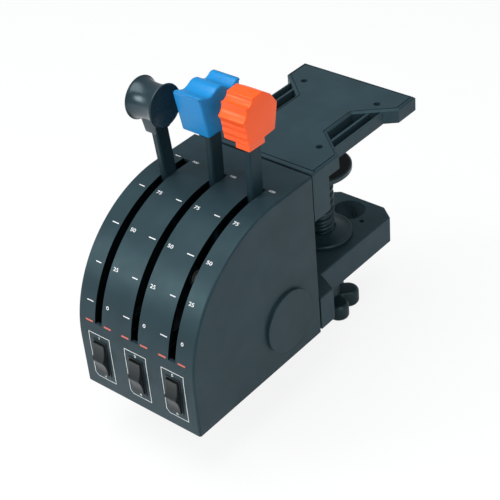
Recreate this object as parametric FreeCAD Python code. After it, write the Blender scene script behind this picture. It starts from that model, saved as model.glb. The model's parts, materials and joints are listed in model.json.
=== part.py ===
"""Desk-clamped three-lever throttle quadrant, built as separate pieces.

Every piece is drawn in the body frame: X to the right, Y away from the user, Z up, with the
origin at the middle of the housing's lower front edge.  On export the pieces are moved so that
the origin is the desk contact face of the upper arm, on the axis of the clamp screw.
Lengths are millimetres and angles are degrees.
"""
import FreeCAD, Part
import math
import os
from FreeCAD import Vector

# ---------------------------------------------------------------- housing
BODY_WIDTH = 108.0          # over the flat side walls
FLAT_TOP = 40.2             # flat top, from the lever pivot back to the rear cover
FRONT_HEIGHT = 40.8         # upright front panel, up to where the arc starts
ARC_RADIUS = 96.5           # curved front, centred on the lever pivot
WALL = 2.5                  # moulded wall
EDGE_ROUND = 1.6            # round along the edges between arc and sides
DISC_RADIUS = 24.5          # raised disc on each side wall
DISC_HEIGHT = 2.3
DISC_BEHIND_PIVOT = 4.4
DISC_BELOW_PIVOT = 5.1
PLATE = 2.5                 # base plate and rear cover thickness
FIT_GAP = 0.2               # slip gap between a cover and the walls round it

# ---------------------------------------------------------------- levers
LEVER_PITCH = 34.5
SLOT_WIDTH = 6.6
SLOT_SIDE_GAP = 0.4         # lever to slot wall
SLOT_END_GAP = 1.7          # slot's ends to a lever at its stops
STALK_DEPTH = 12.0
STALK_CHAMFER = 1.0
STALK_TOP = 158.0           # pivot to the end of the stalk, inside the knob
LEVER_FULL = 88.2           # lever angle at the 100 stop, from +Y towards +Z
LEVER_LOWEST = 165.4        # lever angle at the lowest stop, behind the idle mark
REST_ANGLES = (95.0, 88.2, 88.2)
SHAFT_RADIUS = 3.0
RUNNING_GAP = 0.05          # radial gap of a bore that turns on a shaft
HUB_RADIUS = 8.0
HUB_HALF_WIDTH = 6.0
MOVING_GAP = 0.3            # gap between pieces that move past each other
FRICTION_RING = 1.0         # thickness of the felt rings beside each hub
FRICTION_RING_RADIUS = 7.0
SPACER_RADIUS = 5.0

# ---------------------------------------------------------------- toothed drive to the sensors
GEAR_MODULE = 1.0
SECTOR_FULL_TEETH = 48      # tooth count of the full circle
SECTOR_TEETH = 14           # teeth that the sector carries
PINION_TEETH = 16
MESH_ANGLE = 320.0          # direction from the pivot to the sensor shaft
PRESSURE_ANGLE = 20.0
BACKLASH = 0.24             # taken off each tooth's thickness
ADDENDUM = 0.9              # in modules
DEDENDUM = 1.25             # in modules
GEAR_WIDTH = 5.0
SENSOR_RADIUS = 8.0
SENSOR_THICKNESS = 6.0
SENSOR_BUSH_RADIUS = 4.0
SENSOR_BUSH_LENGTH = 2.2
SENSOR_SHAFT_RADIUS = 2.5
SECTOR_WINDOW_REACH = 15.2  # pivot to the middle of each window
SECTOR_WINDOW_RADIUS = 4.2
SECTOR_WINDOWS = (0.22, 0.5, 0.78)      # places along the toothed run

# ---------------------------------------------------------------- knobs
SOCKET_GAP = 0.3            # knob socket round the stalk
SPOOL_RADIUS = 15.6
SPOOL_WIDTH = 21.5
SPOOL_WAIST = 10.4
SPOOL_RIM = 1.3
SPOOL_DISH = 2.0
SPOOL_CENTRE = 155.7        # pivot to the spool's axis
BLUE_WIDTH = 24.5
ORANGE_WIDTH = 24.0
KNOB_ROUND = 1.2
SOCKET_OPEN = 58.0          # socket's cutter, from the stalk's end to past the knob
BLUE_CUTTER = 40.0          # half length of the cutter under the blue knob

# Points beside a lever: (across, along), across towards the user's far side, along from the pivot.
BLUE_BOTTOM = 139.7
BLUE_FRONT_TOP = (-22.9, 170.6)
BLUE_BACK_TOP = (18.1, 168.6)
BLUE_FRONT_LOW = (-16.9, BLUE_BOTTOM)
BLUE_BACK_LOW = (12.6, BLUE_BOTTOM)
BLUE_WAVE = ((-11.8, 166.8), (-1.9, 171.2), (8.0, 166.8), (15.6, 171.0))
ORANGE_BOTTOM = 144.5
ORANGE_COLLAR_BOTTOM = 140.3
ORANGE_COLLAR_END = 16.3    # collar's far side, across from the stalk's middle
ORANGE_COLLAR_MIDDLE = 0.4  # half width of the collar's part over the stalk's middle
ORANGE_TOP = (-0.9, 178.3)
ORANGE_CORNERS = ((-10.0, 176.2), (-18.4, 171.9), (-20.6, 163.6))
ORANGE_HOLLOWS = ((-13.0, 172.4), (-18.2, 167.4))
ORANGE_NOTCH = (-18.3, 160.6)
ORANGE_GRIP = (-17.0, 153.0)
ORANGE_FRONT_LOW = (-16.6, ORANGE_BOTTOM)
ORANGE_MIDDLE_LOW = (0.3, ORANGE_BOTTOM)
ORANGE_BACK = ((11.1, 146.6), (14.0, 163.7), (6.9, 173.3))

# ---------------------------------------------------------------- rocker switches
ROCKER_Z = 29.0
ROCKER_WIDTH = 10.6
ROCKER_HEIGHT = 27.0
ROCKER_RIDGE = 5.2          # how far the ridge stands out of the panel
ROCKER_TIP = 2.2            # how far the two ends stand out
ROCKER_DISH = 0.7           # further out half way to the ridge; a flat slope would be more
ROCKER_PIVOT_Y = 4.0
ROCKER_PIN_RADIUS = 1.2
SWITCH_WALL = 0.8
SWITCH_SIDE_GAP = 0.3
SWITCH_END_GAP = 0.9        # room for the rocker's ends to swing
SWITCH_LIP = 0.7            # bezel standing out of the panel
SWITCH_DEPTH = 14.0
PANEL_GAP = 0.1             # switch body to panel opening

# ---------------------------------------------------------------- inner frame
UPRIGHT = 2.5
FLOOR = 2.5
CHASSIS_FRONT_Y = 22.0
UPRIGHT_BEFORE_PIVOT = 18.5
UPRIGHT_TOP = 9.0           # frame material above the lever shaft
CROSS_WALL = 3.0
END_SWITCH_WIDTH = 6.4
END_SWITCH_LENGTH = 19.8
END_SWITCH_HEIGHT = 10.2
END_SWITCH_REACH = 59.5     # lever pivot to the middle of an end switch
END_SWITCH_GAP = 1.1        # below a lever at its lowest place
END_SWITCH_TIP = 1.2
BOARD_THICKNESS = 1.6
BOARD_STANDOFF = 4.0
BOARD_WIDTH = 84.0
BOARD_EDGE_GAP = 4.0        # board to the cross wall in front and the uprights behind
CHASSIS_REAR_BOSS_X = 42.0
CHASSIS_REAR_BOSS_RISE = 3.0            # above the chassis floor

# ---------------------------------------------------------------- screws and the cable gland
SCREW_PILOT = 1.25          # pilot hole and shank of the small housing screws
SCREW_HEAD_RADIUS = 2.6
SCREW_HEAD_HEIGHT = 1.6
REAR_COVER_SCREW = 8.0      # lengths under the head
BASE_SCREW = 3.2
BOARD_SCREW = 5.0
CAP_HEAD_HEIGHT = 3.2       # socket-head screws of the bracket
BRACKET_SCREW_RADIUS = 2.0
BRACKET_SCREW_X = 20.0
BRACKET_SCREW_LOW = 22.5    # lower pair, above the lower block
BRACKET_SCREW_HIGH = 13.0   # upper pair, below the cheeks' lower edge
GLAND_X = -42.0
GLAND_Z = 62.0
GLAND_RADIUS = 5.0
GLAND_BORE = 2.2

# ---------------------------------------------------------------- bracket
REAR_GAP = 2.4              # rear cover to the bracket
ARM_HALF_WIDTH = 52.0
ARM_LENGTH = 127.9          # from the bracket's seat on the rear cover
DECK_DROP = 0.8             # deck below the housing's top
DESK_PAD = 1.5
ARM_THICKNESS = 11.5        # deck to the moulded underside; the desk pad is below it
CHEEK_HEIGHT = 39.5
CHEEK_DEPTH = 18.4
CHEEK_THICKNESS = 6.0
BLOCK_WALL = 4.0
DECK_BEVEL = 1.3
WAIST_HALF_WIDTH = 26.0
WAIST_RUN = 20.2            # screw hole row to the waist's straight sides
RAIL_OUTER = 46.0
RAIL_WIDTH = 4.0
RIB_X = 34.0
RIB_WIDTH = 2.0
POCKET_DEPTH = 9.0
RAIL_DROP = 1.5             # rails end this far below the deck
GROOVE_REACH = 3.6          # deck's front edge to the groove across it
GROOVE_WIDTH = 1.0
GROOVE_DEPTH = 1.0
DESK_HOLE_RADIUS = 2.6
DESK_HOLE_X = 34.0
DESK_HOLE_REACH = 32.9      # bracket seat to the front pair
DESK_HOLE_SPACING = 71.0
SPINE_HALF_WIDTH = 30.0
SPINE_PLATE = 4.0
SPINE_DEPTH = 18.0
SPINE_SCREW_X = 12.0
SPINE_SCREW_REACH = 11.0    # bracket seat to the screws through the spine's flanges
LOWER_BLOCK_BOTTOM = -1.0
LOWER_BLOCK_TOP = 27.5
LOWER_BLOCK_DEPTH = 16.9
LOWER_ARM_BOTTOM = 2.5
LOWER_ARM_TOP = 26.0
LOWER_ARM_HALF_WIDTH = 33.0
LOWER_ARM_CORNER = 9.0      # bevelled corners at the free end, along the arm

# ---------------------------------------------------------------- clamp
SCREW_REACH = 70.9          # bracket seat to the clamp screw
SPARE_HOLE_SPACING = 38.5   # to the second place for the clamp screw
SCREW_RADIUS = 12.0
SCREW_PITCH = 6.4
CLAMP_UP = 20.0             # pad travel above its rest place
CLAMP_DOWN = 42.0           # pad travel below its rest place
SCREW_GAP = 0.3
ARM_HOLE_RADIUS = 13.2
NUT_RADIUS = 27.0
NUT_THICKNESS = 4.5
NUT_HUB_RADIUS = 18.0
NUT_HUB_HEIGHT = 2.5
NUT_SCREW_X = 17.5
NUT_SCREW_Y = -7.5          # from the clamp screw's axis
NUT_SCREW_RADIUS = 2.0
NUT_SCREW_LENGTH = 10.0
NUT_SCREW_HEAD = 2.0
NUT_SEAT = 2.2              # lower arm to the seat under the nut's screw heads
PAD_RADIUS = 27.0
PAD_THICKNESS = 4.0
PAD_FACE = 1.5
DESK_OPENING = 32.5         # clamp pad to desk pad at rest
PAD_HUB_RADIUS = 14.0
PAD_HUB_HEIGHT = 8.0
PAD_SEAT = 3.0              # screw nose inside the pad's hub
NOSE_RADIUS = 9.0
STAR_LOBES = 5
STAR_RADIUS = 29.5
STAR_DROP = 29.5            # lower arm to the star knob's flat top
STAR_HEIGHT = 18.0
STAR_HUB_RADIUS = 17.0
STAR_DOME = 6.5
STAR_ROUND = 1.8
STAR_FIRST_LOBE = -22.0     # direction of one lobe from +X
STAR_LOBE_RADIUS = 7.5
STAR_STEM_RADIUS = 8.0      # screw's plain end inside the star knob
STAR_FLOOR = 4.0            # star knob's material under the screw's end

# ---------------------------------------------------------------- derived places
HALF_WIDTH = BODY_WIDTH / 2
BODY_HEIGHT = FRONT_HEIGHT + ARC_RADIUS
BODY_DEPTH = ARC_RADIUS + FLAT_TOP
PIVOT_Y = ARC_RADIUS
PIVOT_Z = FRONT_HEIGHT
DISC_Y = PIVOT_Y + DISC_BEHIND_PIVOT
DISC_Z = PIVOT_Z - DISC_BELOW_PIVOT
LEVER_X = (-LEVER_PITCH, 0.0, LEVER_PITCH)
STALK_WIDTH = SLOT_WIDTH - 2 * SLOT_SIDE_GAP
INNER_X = HALF_WIDTH - WALL
REAR_INNER_Y = BODY_DEPTH - PLATE
STALK_HALF_ANGLE = math.degrees(math.asin(STALK_DEPTH / 2 / ARC_RADIUS))
LOWEST_EDGE = math.radians(180 - LEVER_LOWEST - STALK_HALF_ANGLE)
SLOT_START_Z = PIVOT_Z + ARC_RADIUS * math.sin(LOWEST_EDGE) - SLOT_END_GAP
SLOT_END_Y = PIVOT_Y + ARC_RADIUS / math.tan(math.radians(LEVER_FULL - STALK_HALF_ANGLE)) + SLOT_END_GAP
UPRIGHT_FRONT_Y = PIVOT_Y - UPRIGHT_BEFORE_PIVOT
UPRIGHT_REAR_Y = REAR_INNER_Y - UPRIGHT
FLOOR_TOP = PLATE + FLOOR
CHASSIS_REAR_BOSS_Z = FLOOR_TOP + CHASSIS_REAR_BOSS_RISE
SECTOR_PITCH_ANGLE = 360.0 / SECTOR_FULL_TEETH
SECTOR_GAP_ANGLE = MESH_ANGLE - LEVER_FULL      # a tooth gap faces the pinion at the 100 stop
SECTOR_RADIUS = GEAR_MODULE * SECTOR_FULL_TEETH / 2
PINION_RADIUS = GEAR_MODULE * PINION_TEETH / 2
SENSOR_Y = PIVOT_Y + (SECTOR_RADIUS + PINION_RADIUS) * math.cos(math.radians(MESH_ANGLE))
SENSOR_Z = PIVOT_Z + (SECTOR_RADIUS + PINION_RADIUS) * math.sin(math.radians(MESH_ANGLE))
SWITCH_INNER_X = ROCKER_WIDTH / 2 + SWITCH_SIDE_GAP
SWITCH_OUTER_X = SWITCH_INNER_X + SWITCH_WALL
SWITCH_INNER_Z = ROCKER_HEIGHT / 2 + SWITCH_END_GAP
SWITCH_OUTER_Z = SWITCH_INNER_Z + SWITCH_WALL
UPRIGHT_X = (-INNER_X + FIT_GAP, -(LEVER_PITCH + UPRIGHT) / 2, (LEVER_PITCH - UPRIGHT) / 2,
             INNER_X - FIT_GAP - UPRIGHT)
BRACKET_Y = BODY_DEPTH + REAR_GAP
ARM_REAR_Y = BRACKET_Y + ARM_LENGTH
DECK_TOP = BODY_HEIGHT - DECK_DROP
ARM_UNDERSIDE = DECK_TOP - ARM_THICKNESS
CHEEK_BOTTOM = DECK_TOP - CHEEK_HEIGHT
CHEEK_REAR_Y = BRACKET_Y + CHEEK_DEPTH + 1
SPINE_SCREW_Y = BRACKET_Y + SPINE_SCREW_REACH
BRACKET_SCREW_Z = (LOWER_BLOCK_TOP + BRACKET_SCREW_LOW, CHEEK_BOTTOM - BRACKET_SCREW_HIGH)
LOWER_BLOCK_REAR_Y = BRACKET_Y + LOWER_BLOCK_DEPTH + 2
DESK_HOLE_FRONT_Y = BRACKET_Y + DESK_HOLE_REACH
DESK_HOLE_REAR_Y = DESK_HOLE_FRONT_Y + DESK_HOLE_SPACING
SCREW_Y = BRACKET_Y + SCREW_REACH
SPARE_HOLE_Y = SCREW_Y + SPARE_HOLE_SPACING
DESK_FACE_Z = ARM_UNDERSIDE - DESK_PAD
PAD_TOP = DESK_FACE_Z - DESK_OPENING
PAD_BOTTOM = PAD_TOP - PAD_FACE - PAD_THICKNESS
STAR_TOP = LOWER_ARM_BOTTOM - STAR_DROP
STAR_BOTTOM = STAR_TOP - STAR_HEIGHT
END_SWITCH_Y = PIVOT_Y - END_SWITCH_REACH
BOARD_FRONT_Y = END_SWITCH_Y + CROSS_WALL / 2 + BOARD_EDGE_GAP
BOARD_REAR_Y = UPRIGHT_FRONT_Y - BOARD_EDGE_GAP
ROW_ORIGIN = Vector(0, SCREW_Y, DESK_FACE_Z)


# ---------------------------------------------------------------- drawing helpers
def box(x0, x1, y0, y1, z0, z1):
    """Box between two corners."""
    return Part.makeBox(x1 - x0, y1 - y0, z1 - z0, Vector(x0, y0, z0))


def rod_x(x0, x1, y, z, radius):
    """Cylinder along X."""
    return Part.makeCylinder(radius, x1 - x0, Vector(x0, y, z), Vector(1, 0, 0))


def rod_y(y0, y1, x, z, radius):
    """Cylinder along Y."""
    return Part.makeCylinder(radius, y1 - y0, Vector(x, y0, z), Vector(0, 1, 0))


def rod_z(z0, z1, x, y, radius):
    """Cylinder along Z."""
    return Part.makeCylinder(radius, z1 - z0, Vector(x, y, z0), Vector(0, 0, 1))


def prism_x(outline, x0, x1):
    """Extrude a (y, z) polygon along X."""
    wire = Part.makePolygon([Vector(x0, y, z) for y, z in outline + outline[:1]])
    return Part.Face(wire).extrude(Vector(x1 - x0, 0, 0))


def prism_z(outline, z0, z1):
    """Extrude an (x, y) polygon along Z."""
    wire = Part.makePolygon([Vector(x, y, z0) for x, y in outline + outline[:1]])
    return Part.Face(wire).extrude(Vector(0, 0, z1 - z0))


def mirrored_outline(right_side):
    """Close an outline whose right half is given, in (x, y)."""
    return right_side + [(-x, y) for x, y in reversed(right_side)]


def joined(shapes):
    """Fuse shapes into one clean solid."""
    first = shapes[0]
    if len(shapes) > 1:
        first = first.fuse(shapes[1:])
    return first.removeSplitter()


def drilled(shape, cutters):
    """Cut several shapes away."""
    return shape.cut(cutters).removeSplitter()


def rounded(shape, radius, chosen):
    """Round the edges that the test picks."""
    edges = [edge for edge in shape.Edges if chosen(edge)]
    return shape.makeFillet(radius, edges) if edges else shape


def bevelled(shape, size, chosen):
    """Bevel the edges that the test picks."""
    edges = [edge for edge in shape.Edges if chosen(edge)]
    return shape.makeChamfer(size, edges) if edges else shape


def lies_at(edge, axis, value):
    """True when the whole edge has one coordinate at a value."""
    box_ = edge.BoundBox
    low, high = {"x": (box_.XMin, box_.XMax), "y": (box_.YMin, box_.YMax),
                 "z": (box_.ZMin, box_.ZMax)}[axis]
    return abs(low - value) < 1e-3 and abs(high - value) < 1e-3


def runs_along(edge, axis):
    """True for a straight edge along one axis."""
    if not isinstance(edge.Curve, Part.Line):
        return False
    return abs(getattr(edge.Curve.Direction, axis)) > 0.999


def group(shapes):
    """Separate solids kept in one node."""
    return Part.makeCompound(shapes)


# ---------------------------------------------------------------- housing pieces
def side_profile(inset, rear, bottom):
    """Closed wire of the housing's side outline, inset from the outside."""
    front = inset
    top = BODY_HEIGHT - inset
    radius = ARC_RADIUS - inset
    middle = math.radians(135)
    corner = Vector(0, front, bottom)
    arc_start = Vector(0, front, PIVOT_Z)
    arc_middle = Vector(0, PIVOT_Y + radius * math.cos(middle), PIVOT_Z + radius * math.sin(middle))
    arc_end = Vector(0, PIVOT_Y, top)
    top_rear = Vector(0, rear, top)
    low_rear = Vector(0, rear, bottom)
    return Part.Wire([
        Part.makeLine(corner, arc_start),
        Part.Arc(arc_start, arc_middle, arc_end).toShape(),
        Part.makeLine(arc_end, top_rear),
        Part.makeLine(top_rear, low_rear),
        Part.makeLine(low_rear, corner),
    ])


def wide_prism(wire, half_width):
    """Extrude a side outline to both sides of the middle plane."""
    moved = wire.copy()
    moved.translate(Vector(-half_width, 0, 0))
    return Part.Face(moved).extrude(Vector(2 * half_width, 0, 0))


def shell_boss_places():
    """Middle points (x, y) of the two front screw bosses."""
    reach = INNER_X - 3.6
    return [(-reach, WALL + 5.0), (reach, WALL + 5.0)]


def top_boss_places():
    """Middle points (x, z) of the two bosses under the rear of the top."""
    return [(-44.0, BODY_HEIGHT - WALL - 3.5), (44.0, BODY_HEIGHT - WALL - 3.5)]


def main_shell():
    """Front, arc, top and sides in one moulding, open behind and below."""
    outer = wide_prism(side_profile(0.0, BODY_DEPTH, 0.0), HALF_WIDTH)
    outer = rounded(outer, EDGE_ROUND, lambda edge: abs(abs(edge.CenterOfMass.x) - HALF_WIDTH) < 1e-3
                    and edge.BoundBox.YMax - edge.BoundBox.YMin < ARC_RADIUS + 1
                    and not lies_at(edge, "z", 0.0) and not lies_at(edge, "y", BODY_DEPTH))
    discs = []
    for side in (-1, 1):
        disc = rod_x(0, DISC_HEIGHT + WALL / 2, DISC_Y, DISC_Z, DISC_RADIUS)
        disc = rounded(disc, 0.6, lambda edge: lies_at(edge, "x", DISC_HEIGHT + WALL / 2))
        if side < 0:
            disc = disc.mirror(Vector(0, 0, 0), Vector(1, 0, 0))
        disc.translate(Vector(side * (HALF_WIDTH - WALL / 2), 0, 0))
        discs.append(disc)
    shell = outer.fuse(discs)
    shell = shell.cut(wide_prism(side_profile(WALL, BODY_DEPTH + 1, -1.0), INNER_X))
    bosses = [rod_z(PLATE, FRONT_HEIGHT - 4, x, y, 3.4) for x, y in shell_boss_places()]
    for x, y in shell_boss_places():
        outside = math.copysign(INNER_X + WALL / 2, x)
        bosses.append(box(min(x, outside), max(x, outside), y - 1.2, y + 1.2, PLATE, FRONT_HEIGHT - 4))
    for x, z in top_boss_places():
        bosses.append(rod_y(REAR_INNER_Y - 14, REAR_INNER_Y, x, z, 3.5))
        bosses.append(box(x - 1.5, x + 1.5, REAR_INNER_Y - 14, REAR_INNER_Y, z, BODY_HEIGHT - WALL / 2))
    shell = joined([shell] + bosses)
    cutters = []
    for x in LEVER_X:
        cutters.append(box(x - SLOT_WIDTH / 2, x + SLOT_WIDTH / 2, -1, SLOT_END_Y,
                           SLOT_START_Z, BODY_HEIGHT + 1))
        cutters.append(box(x - SWITCH_OUTER_X - PANEL_GAP, x + SWITCH_OUTER_X + PANEL_GAP, -1, WALL + 1,
                           ROCKER_Z - SWITCH_OUTER_Z - PANEL_GAP, ROCKER_Z + SWITCH_OUTER_Z + PANEL_GAP))
    cutters += [rod_z(PLATE - 1, PLATE + 12, x, y, SCREW_PILOT) for x, y in shell_boss_places()]
    cutters += [rod_y(REAR_INNER_Y - 12, REAR_INNER_Y + 1, x, z, SCREW_PILOT)
                for x, z in top_boss_places()]
    return drilled(shell, cutters)


def rear_cover_screw_places():
    """Points (x, z) of the four rear cover screws."""
    low = [(-CHASSIS_REAR_BOSS_X, CHASSIS_REAR_BOSS_Z), (CHASSIS_REAR_BOSS_X, CHASSIS_REAR_BOSS_Z)]
    return low + top_boss_places()


def bracket_screw_places():
    """Points (x, z) of the four bracket screws."""
    return [(side * BRACKET_SCREW_X, z) for side in (-1, 1) for z in BRACKET_SCREW_Z]


def rear_cover():
    """Flat rear cover with seats for the bracket and bosses for its screws."""
    half = INNER_X - FIT_GAP
    cover = box(-half, half, REAR_INNER_Y, BODY_DEPTH, 0.0, BODY_HEIGHT - WALL - FIT_GAP)
    pieces = [cover]
    for x, z in bracket_screw_places():
        pieces.append(rod_y(REAR_INNER_Y - 6, BRACKET_Y, x, z, 6.0))
    cover = joined(pieces)
    cutters = [rod_y(REAR_INNER_Y - 7, BRACKET_Y + 1, x, z, BRACKET_SCREW_RADIUS)
               for x, z in bracket_screw_places()]
    for x, z in rear_cover_screw_places():
        cutters.append(rod_y(REAR_INNER_Y - 1, BODY_DEPTH + 1, x, z, SCREW_PILOT))
        cutters.append(rod_y(BODY_DEPTH - SCREW_HEAD_HEIGHT, BODY_DEPTH + 1, x, z, SCREW_HEAD_RADIUS))
    cutters.append(rod_y(REAR_INNER_Y - 1, BODY_DEPTH + 1, GLAND_X, GLAND_Z, GLAND_RADIUS))
    return drilled(cover, cutters)


def base_screw_places():
    """Points (x, y) of the screws up through the base plate."""
    rear = [(side * 26.0, y) for side in (-1, 1) for y in (CHASSIS_FRONT_Y + 6, UPRIGHT_FRONT_Y - 2)]
    return shell_boss_places() + rear


def base_plate():
    """Flat floor between the walls, with sunk screw heads."""
    half = INNER_X - FIT_GAP
    plate = box(-half, half, WALL + FIT_GAP, REAR_INNER_Y - FIT_GAP, 0.0, PLATE)
    cutters = []
    for x, y in base_screw_places():
        cutters.append(rod_z(-1, PLATE + 1, x, y, SCREW_PILOT))
        cutters.append(rod_z(-1, SCREW_HEAD_HEIGHT, x, y, SCREW_HEAD_RADIUS))
    return drilled(plate, cutters)


def upright_outline():
    """Side view of one upright of the inner frame."""
    return [(UPRIGHT_FRONT_Y, PLATE), (UPRIGHT_REAR_Y, PLATE), (UPRIGHT_REAR_Y, SENSOR_Z + 10),
            (PIVOT_Y + 12, PIVOT_Z + UPRIGHT_TOP), (PIVOT_Y - 8, PIVOT_Z + UPRIGHT_TOP),
            (UPRIGHT_FRONT_Y, PIVOT_Z - 8)]


def end_switch_top():
    """Height of the end switches' tips, just under a lever at its lowest place."""
    angle = math.radians(LEVER_LOWEST)
    rear = END_SWITCH_Y + END_SWITCH_LENGTH / 2
    along = (rear - PIVOT_Y + STALK_DEPTH / 2 * math.sin(angle)) / math.cos(angle)
    return PIVOT_Z + along * math.sin(angle) + STALK_DEPTH / 2 * math.cos(angle) - END_SWITCH_GAP


def chassis():
    """Floor, four uprights for the lever shaft, and the cross wall under the end switches."""
    half = INNER_X - FIT_GAP
    pieces = [box(-half, half, CHASSIS_FRONT_Y, UPRIGHT_REAR_Y, PLATE, FLOOR_TOP)]
    for x in UPRIGHT_X:
        plate = prism_x(upright_outline(), x, x + UPRIGHT)
        window = rod_x(x - 1, x + UPRIGHT + 1, PIVOT_Y - 6, PIVOT_Z - 20, 7.0)
        pieces.append(plate.cut(window))
    switch_bottom = end_switch_top() - END_SWITCH_HEIGHT
    pieces.append(box(-half, half, END_SWITCH_Y - CROSS_WALL / 2, END_SWITCH_Y + CROSS_WALL / 2,
                      PLATE, switch_bottom))
    for x in LEVER_X:
        pieces.append(box(x - END_SWITCH_WIDTH / 2 - 1, x + END_SWITCH_WIDTH / 2 + 1,
                          END_SWITCH_Y - END_SWITCH_LENGTH / 2, END_SWITCH_Y + END_SWITCH_LENGTH / 2,
                          switch_bottom - UPRIGHT, switch_bottom))
    for side in (-1, 1):
        x = side * CHASSIS_REAR_BOSS_X
        pieces.append(rod_y(UPRIGHT_REAR_Y - 12, REAR_INNER_Y, x, CHASSIS_REAR_BOSS_Z, 3.0))
        pieces.append(box(x - 3, x + 3, UPRIGHT_REAR_Y - 12, UPRIGHT_REAR_Y, PLATE, CHASSIS_REAR_BOSS_Z))
    for x, y in board_post_places():
        pieces.append(rod_z(PLATE, FLOOR_TOP + BOARD_STANDOFF, x, y, 3.0))
    frame = joined(pieces)
    cutters = [rod_x(-half - 1, half + 1, PIVOT_Y, PIVOT_Z, SHAFT_RADIUS)]
    for side in (-1, 1):
        cutters.append(rod_y(UPRIGHT_REAR_Y - 9, REAR_INNER_Y + 1, side * CHASSIS_REAR_BOSS_X,
                             CHASSIS_REAR_BOSS_Z, SCREW_PILOT))
    for x, y in base_screw_places()[2:]:
        cutters.append(rod_z(PLATE - 1, FLOOR_TOP + 1, x, y, SCREW_PILOT))
    for x, y in board_post_places():
        cutters.append(rod_z(FLOOR_TOP, FLOOR_TOP + BOARD_STANDOFF + 1, x, y, SCREW_PILOT))
    return drilled(frame, cutters)


def board_post_places():
    """Points (x, y) of the circuit board's posts."""
    reach = BOARD_WIDTH / 2 - 4
    return [(side * reach, y) for side in (-1, 1) for y in (BOARD_FRONT_Y + 4, BOARD_REAR_Y - 4)]


def circuit_board():
    """Bare board on its posts."""
    low = FLOOR_TOP + BOARD_STANDOFF
    board = box(-BOARD_WIDTH / 2, BOARD_WIDTH / 2, BOARD_FRONT_Y, BOARD_REAR_Y, low, low + BOARD_THICKNESS)
    return drilled(board, [rod_z(low - 1, low + 3, x, y, SCREW_PILOT) for x, y in board_post_places()])


def board_parts():
    """Controller chip and the three lead headers, soldered on the board."""
    low = FLOOR_TOP + BOARD_STANDOFF + BOARD_THICKNESS
    middle = (BOARD_FRONT_Y + BOARD_REAR_Y) / 2
    chip = box(-6, 6, middle - 6, middle + 6, low, low + 2.0)
    headers = [box(x - 5, x + 5, BOARD_REAR_Y - 9, BOARD_REAR_Y - 3, low, low + 6) for x in (-22, 0, 22)]
    return group([chip] + headers)


def cable_gland():
    """Flanged sleeve for a lead, pressed in the rear cover."""
    sleeve = joined([rod_y(REAR_INNER_Y - 3, BODY_DEPTH + 7, GLAND_X, GLAND_Z, GLAND_RADIUS),
                     rod_y(BODY_DEPTH, BODY_DEPTH + 2, GLAND_X, GLAND_Z, GLAND_RADIUS + 2),
                     rod_y(REAR_INNER_Y - 3, REAR_INNER_Y, GLAND_X, GLAND_Z, GLAND_RADIUS + 1)])
    return drilled(sleeve, [rod_y(REAR_INNER_Y - 4, BODY_DEPTH + 8, GLAND_X, GLAND_Z, GLAND_BORE)])


def pan_screw(head_height, length):
    """Pan-head screw along +Z, its head on top of Z = 0 and its shank below."""
    head = rod_z(0, head_height, 0, 0, SCREW_HEAD_RADIUS)
    shank = rod_z(-length, 0, 0, 0, SCREW_PILOT)
    slot = box(-0.35, 0.35, -1.6, 1.6, head_height - 0.7, head_height + 1)
    return drilled(joined([head, shank]), [slot])


def screws_along_y(places, seat_y, length):
    """Small screws driven towards -Y, heads ending at the seat plus the head height."""
    made = []
    for x, z in places:
        screw = pan_screw(SCREW_HEAD_HEIGHT, length)
        screw.rotate(Vector(0, 0, 0), Vector(1, 0, 0), -90)
        screw.translate(Vector(x, seat_y, z))
        made.append(screw)
    return group(made)


def screws_along_z(places, seat_z, length, upward):
    """Small screws along Z; upward ones have their heads below."""
    made = []
    for x, y in places:
        screw = pan_screw(SCREW_HEAD_HEIGHT, length)
        if upward:
            screw.rotate(Vector(0, 0, 0), Vector(1, 0, 0), 180)
        screw.translate(Vector(x, y, seat_z))
        made.append(screw)
    return group(made)


# ---------------------------------------------------------------- lever shaft and its rings
def lever_shaft():
    """One fixed shaft that all three levers turn on."""
    half = INNER_X - FIT_GAP
    return bevelled(rod_x(-half, half, PIVOT_Y, PIVOT_Z, SHAFT_RADIUS), 0.4,
                    lambda edge: lies_at(edge, "x", half) or lies_at(edge, "x", -half))


def ring_x(x0, x1, inner, outer):
    """Ring round the lever shaft."""
    return rod_x(x0, x1, PIVOT_Y, PIVOT_Z, outer).cut(rod_x(x0 - 1, x1 + 1, PIVOT_Y, PIVOT_Z, inner))


def hub_faces():
    """For each lever and side: the hub's outer face X and the next upright's face X."""
    spans = []
    for index, x in enumerate(LEVER_X):
        spans.append((x - HUB_HALF_WIDTH, UPRIGHT_X[index] + UPRIGHT))
        spans.append((x + HUB_HALF_WIDTH, UPRIGHT_X[index + 1]))
    return spans


def friction_rings():
    """Felt rings that hold each hub between light side pressure."""
    rings = []
    for hub, upright in hub_faces():
        side = math.copysign(1, upright - hub)
        near = hub + side * MOVING_GAP
        far = near + side * FRICTION_RING
        rings.append(ring_x(min(near, far), max(near, far), SHAFT_RADIUS, FRICTION_RING_RADIUS))
    return group(rings)


def shaft_spacers():
    """Tubes between the felt rings and the uprights."""
    tubes = []
    for hub, upright in hub_faces():
        side = math.copysign(1, upright - hub)
        near = hub + side * (MOVING_GAP + FRICTION_RING)
        tubes.append(ring_x(min(near, upright), max(near, upright), SHAFT_RADIUS, SPACER_RADIUS))
    return group(tubes)


# ---------------------------------------------------------------- teeth
def involute_point(base, radius):
    """Polar angle, in radians, of an involute at a radius, from its start on the base circle."""
    if radius <= base:
        return 0.0
    roll = math.sqrt((radius / base) ** 2 - 1)
    return roll - math.atan(roll)


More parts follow.
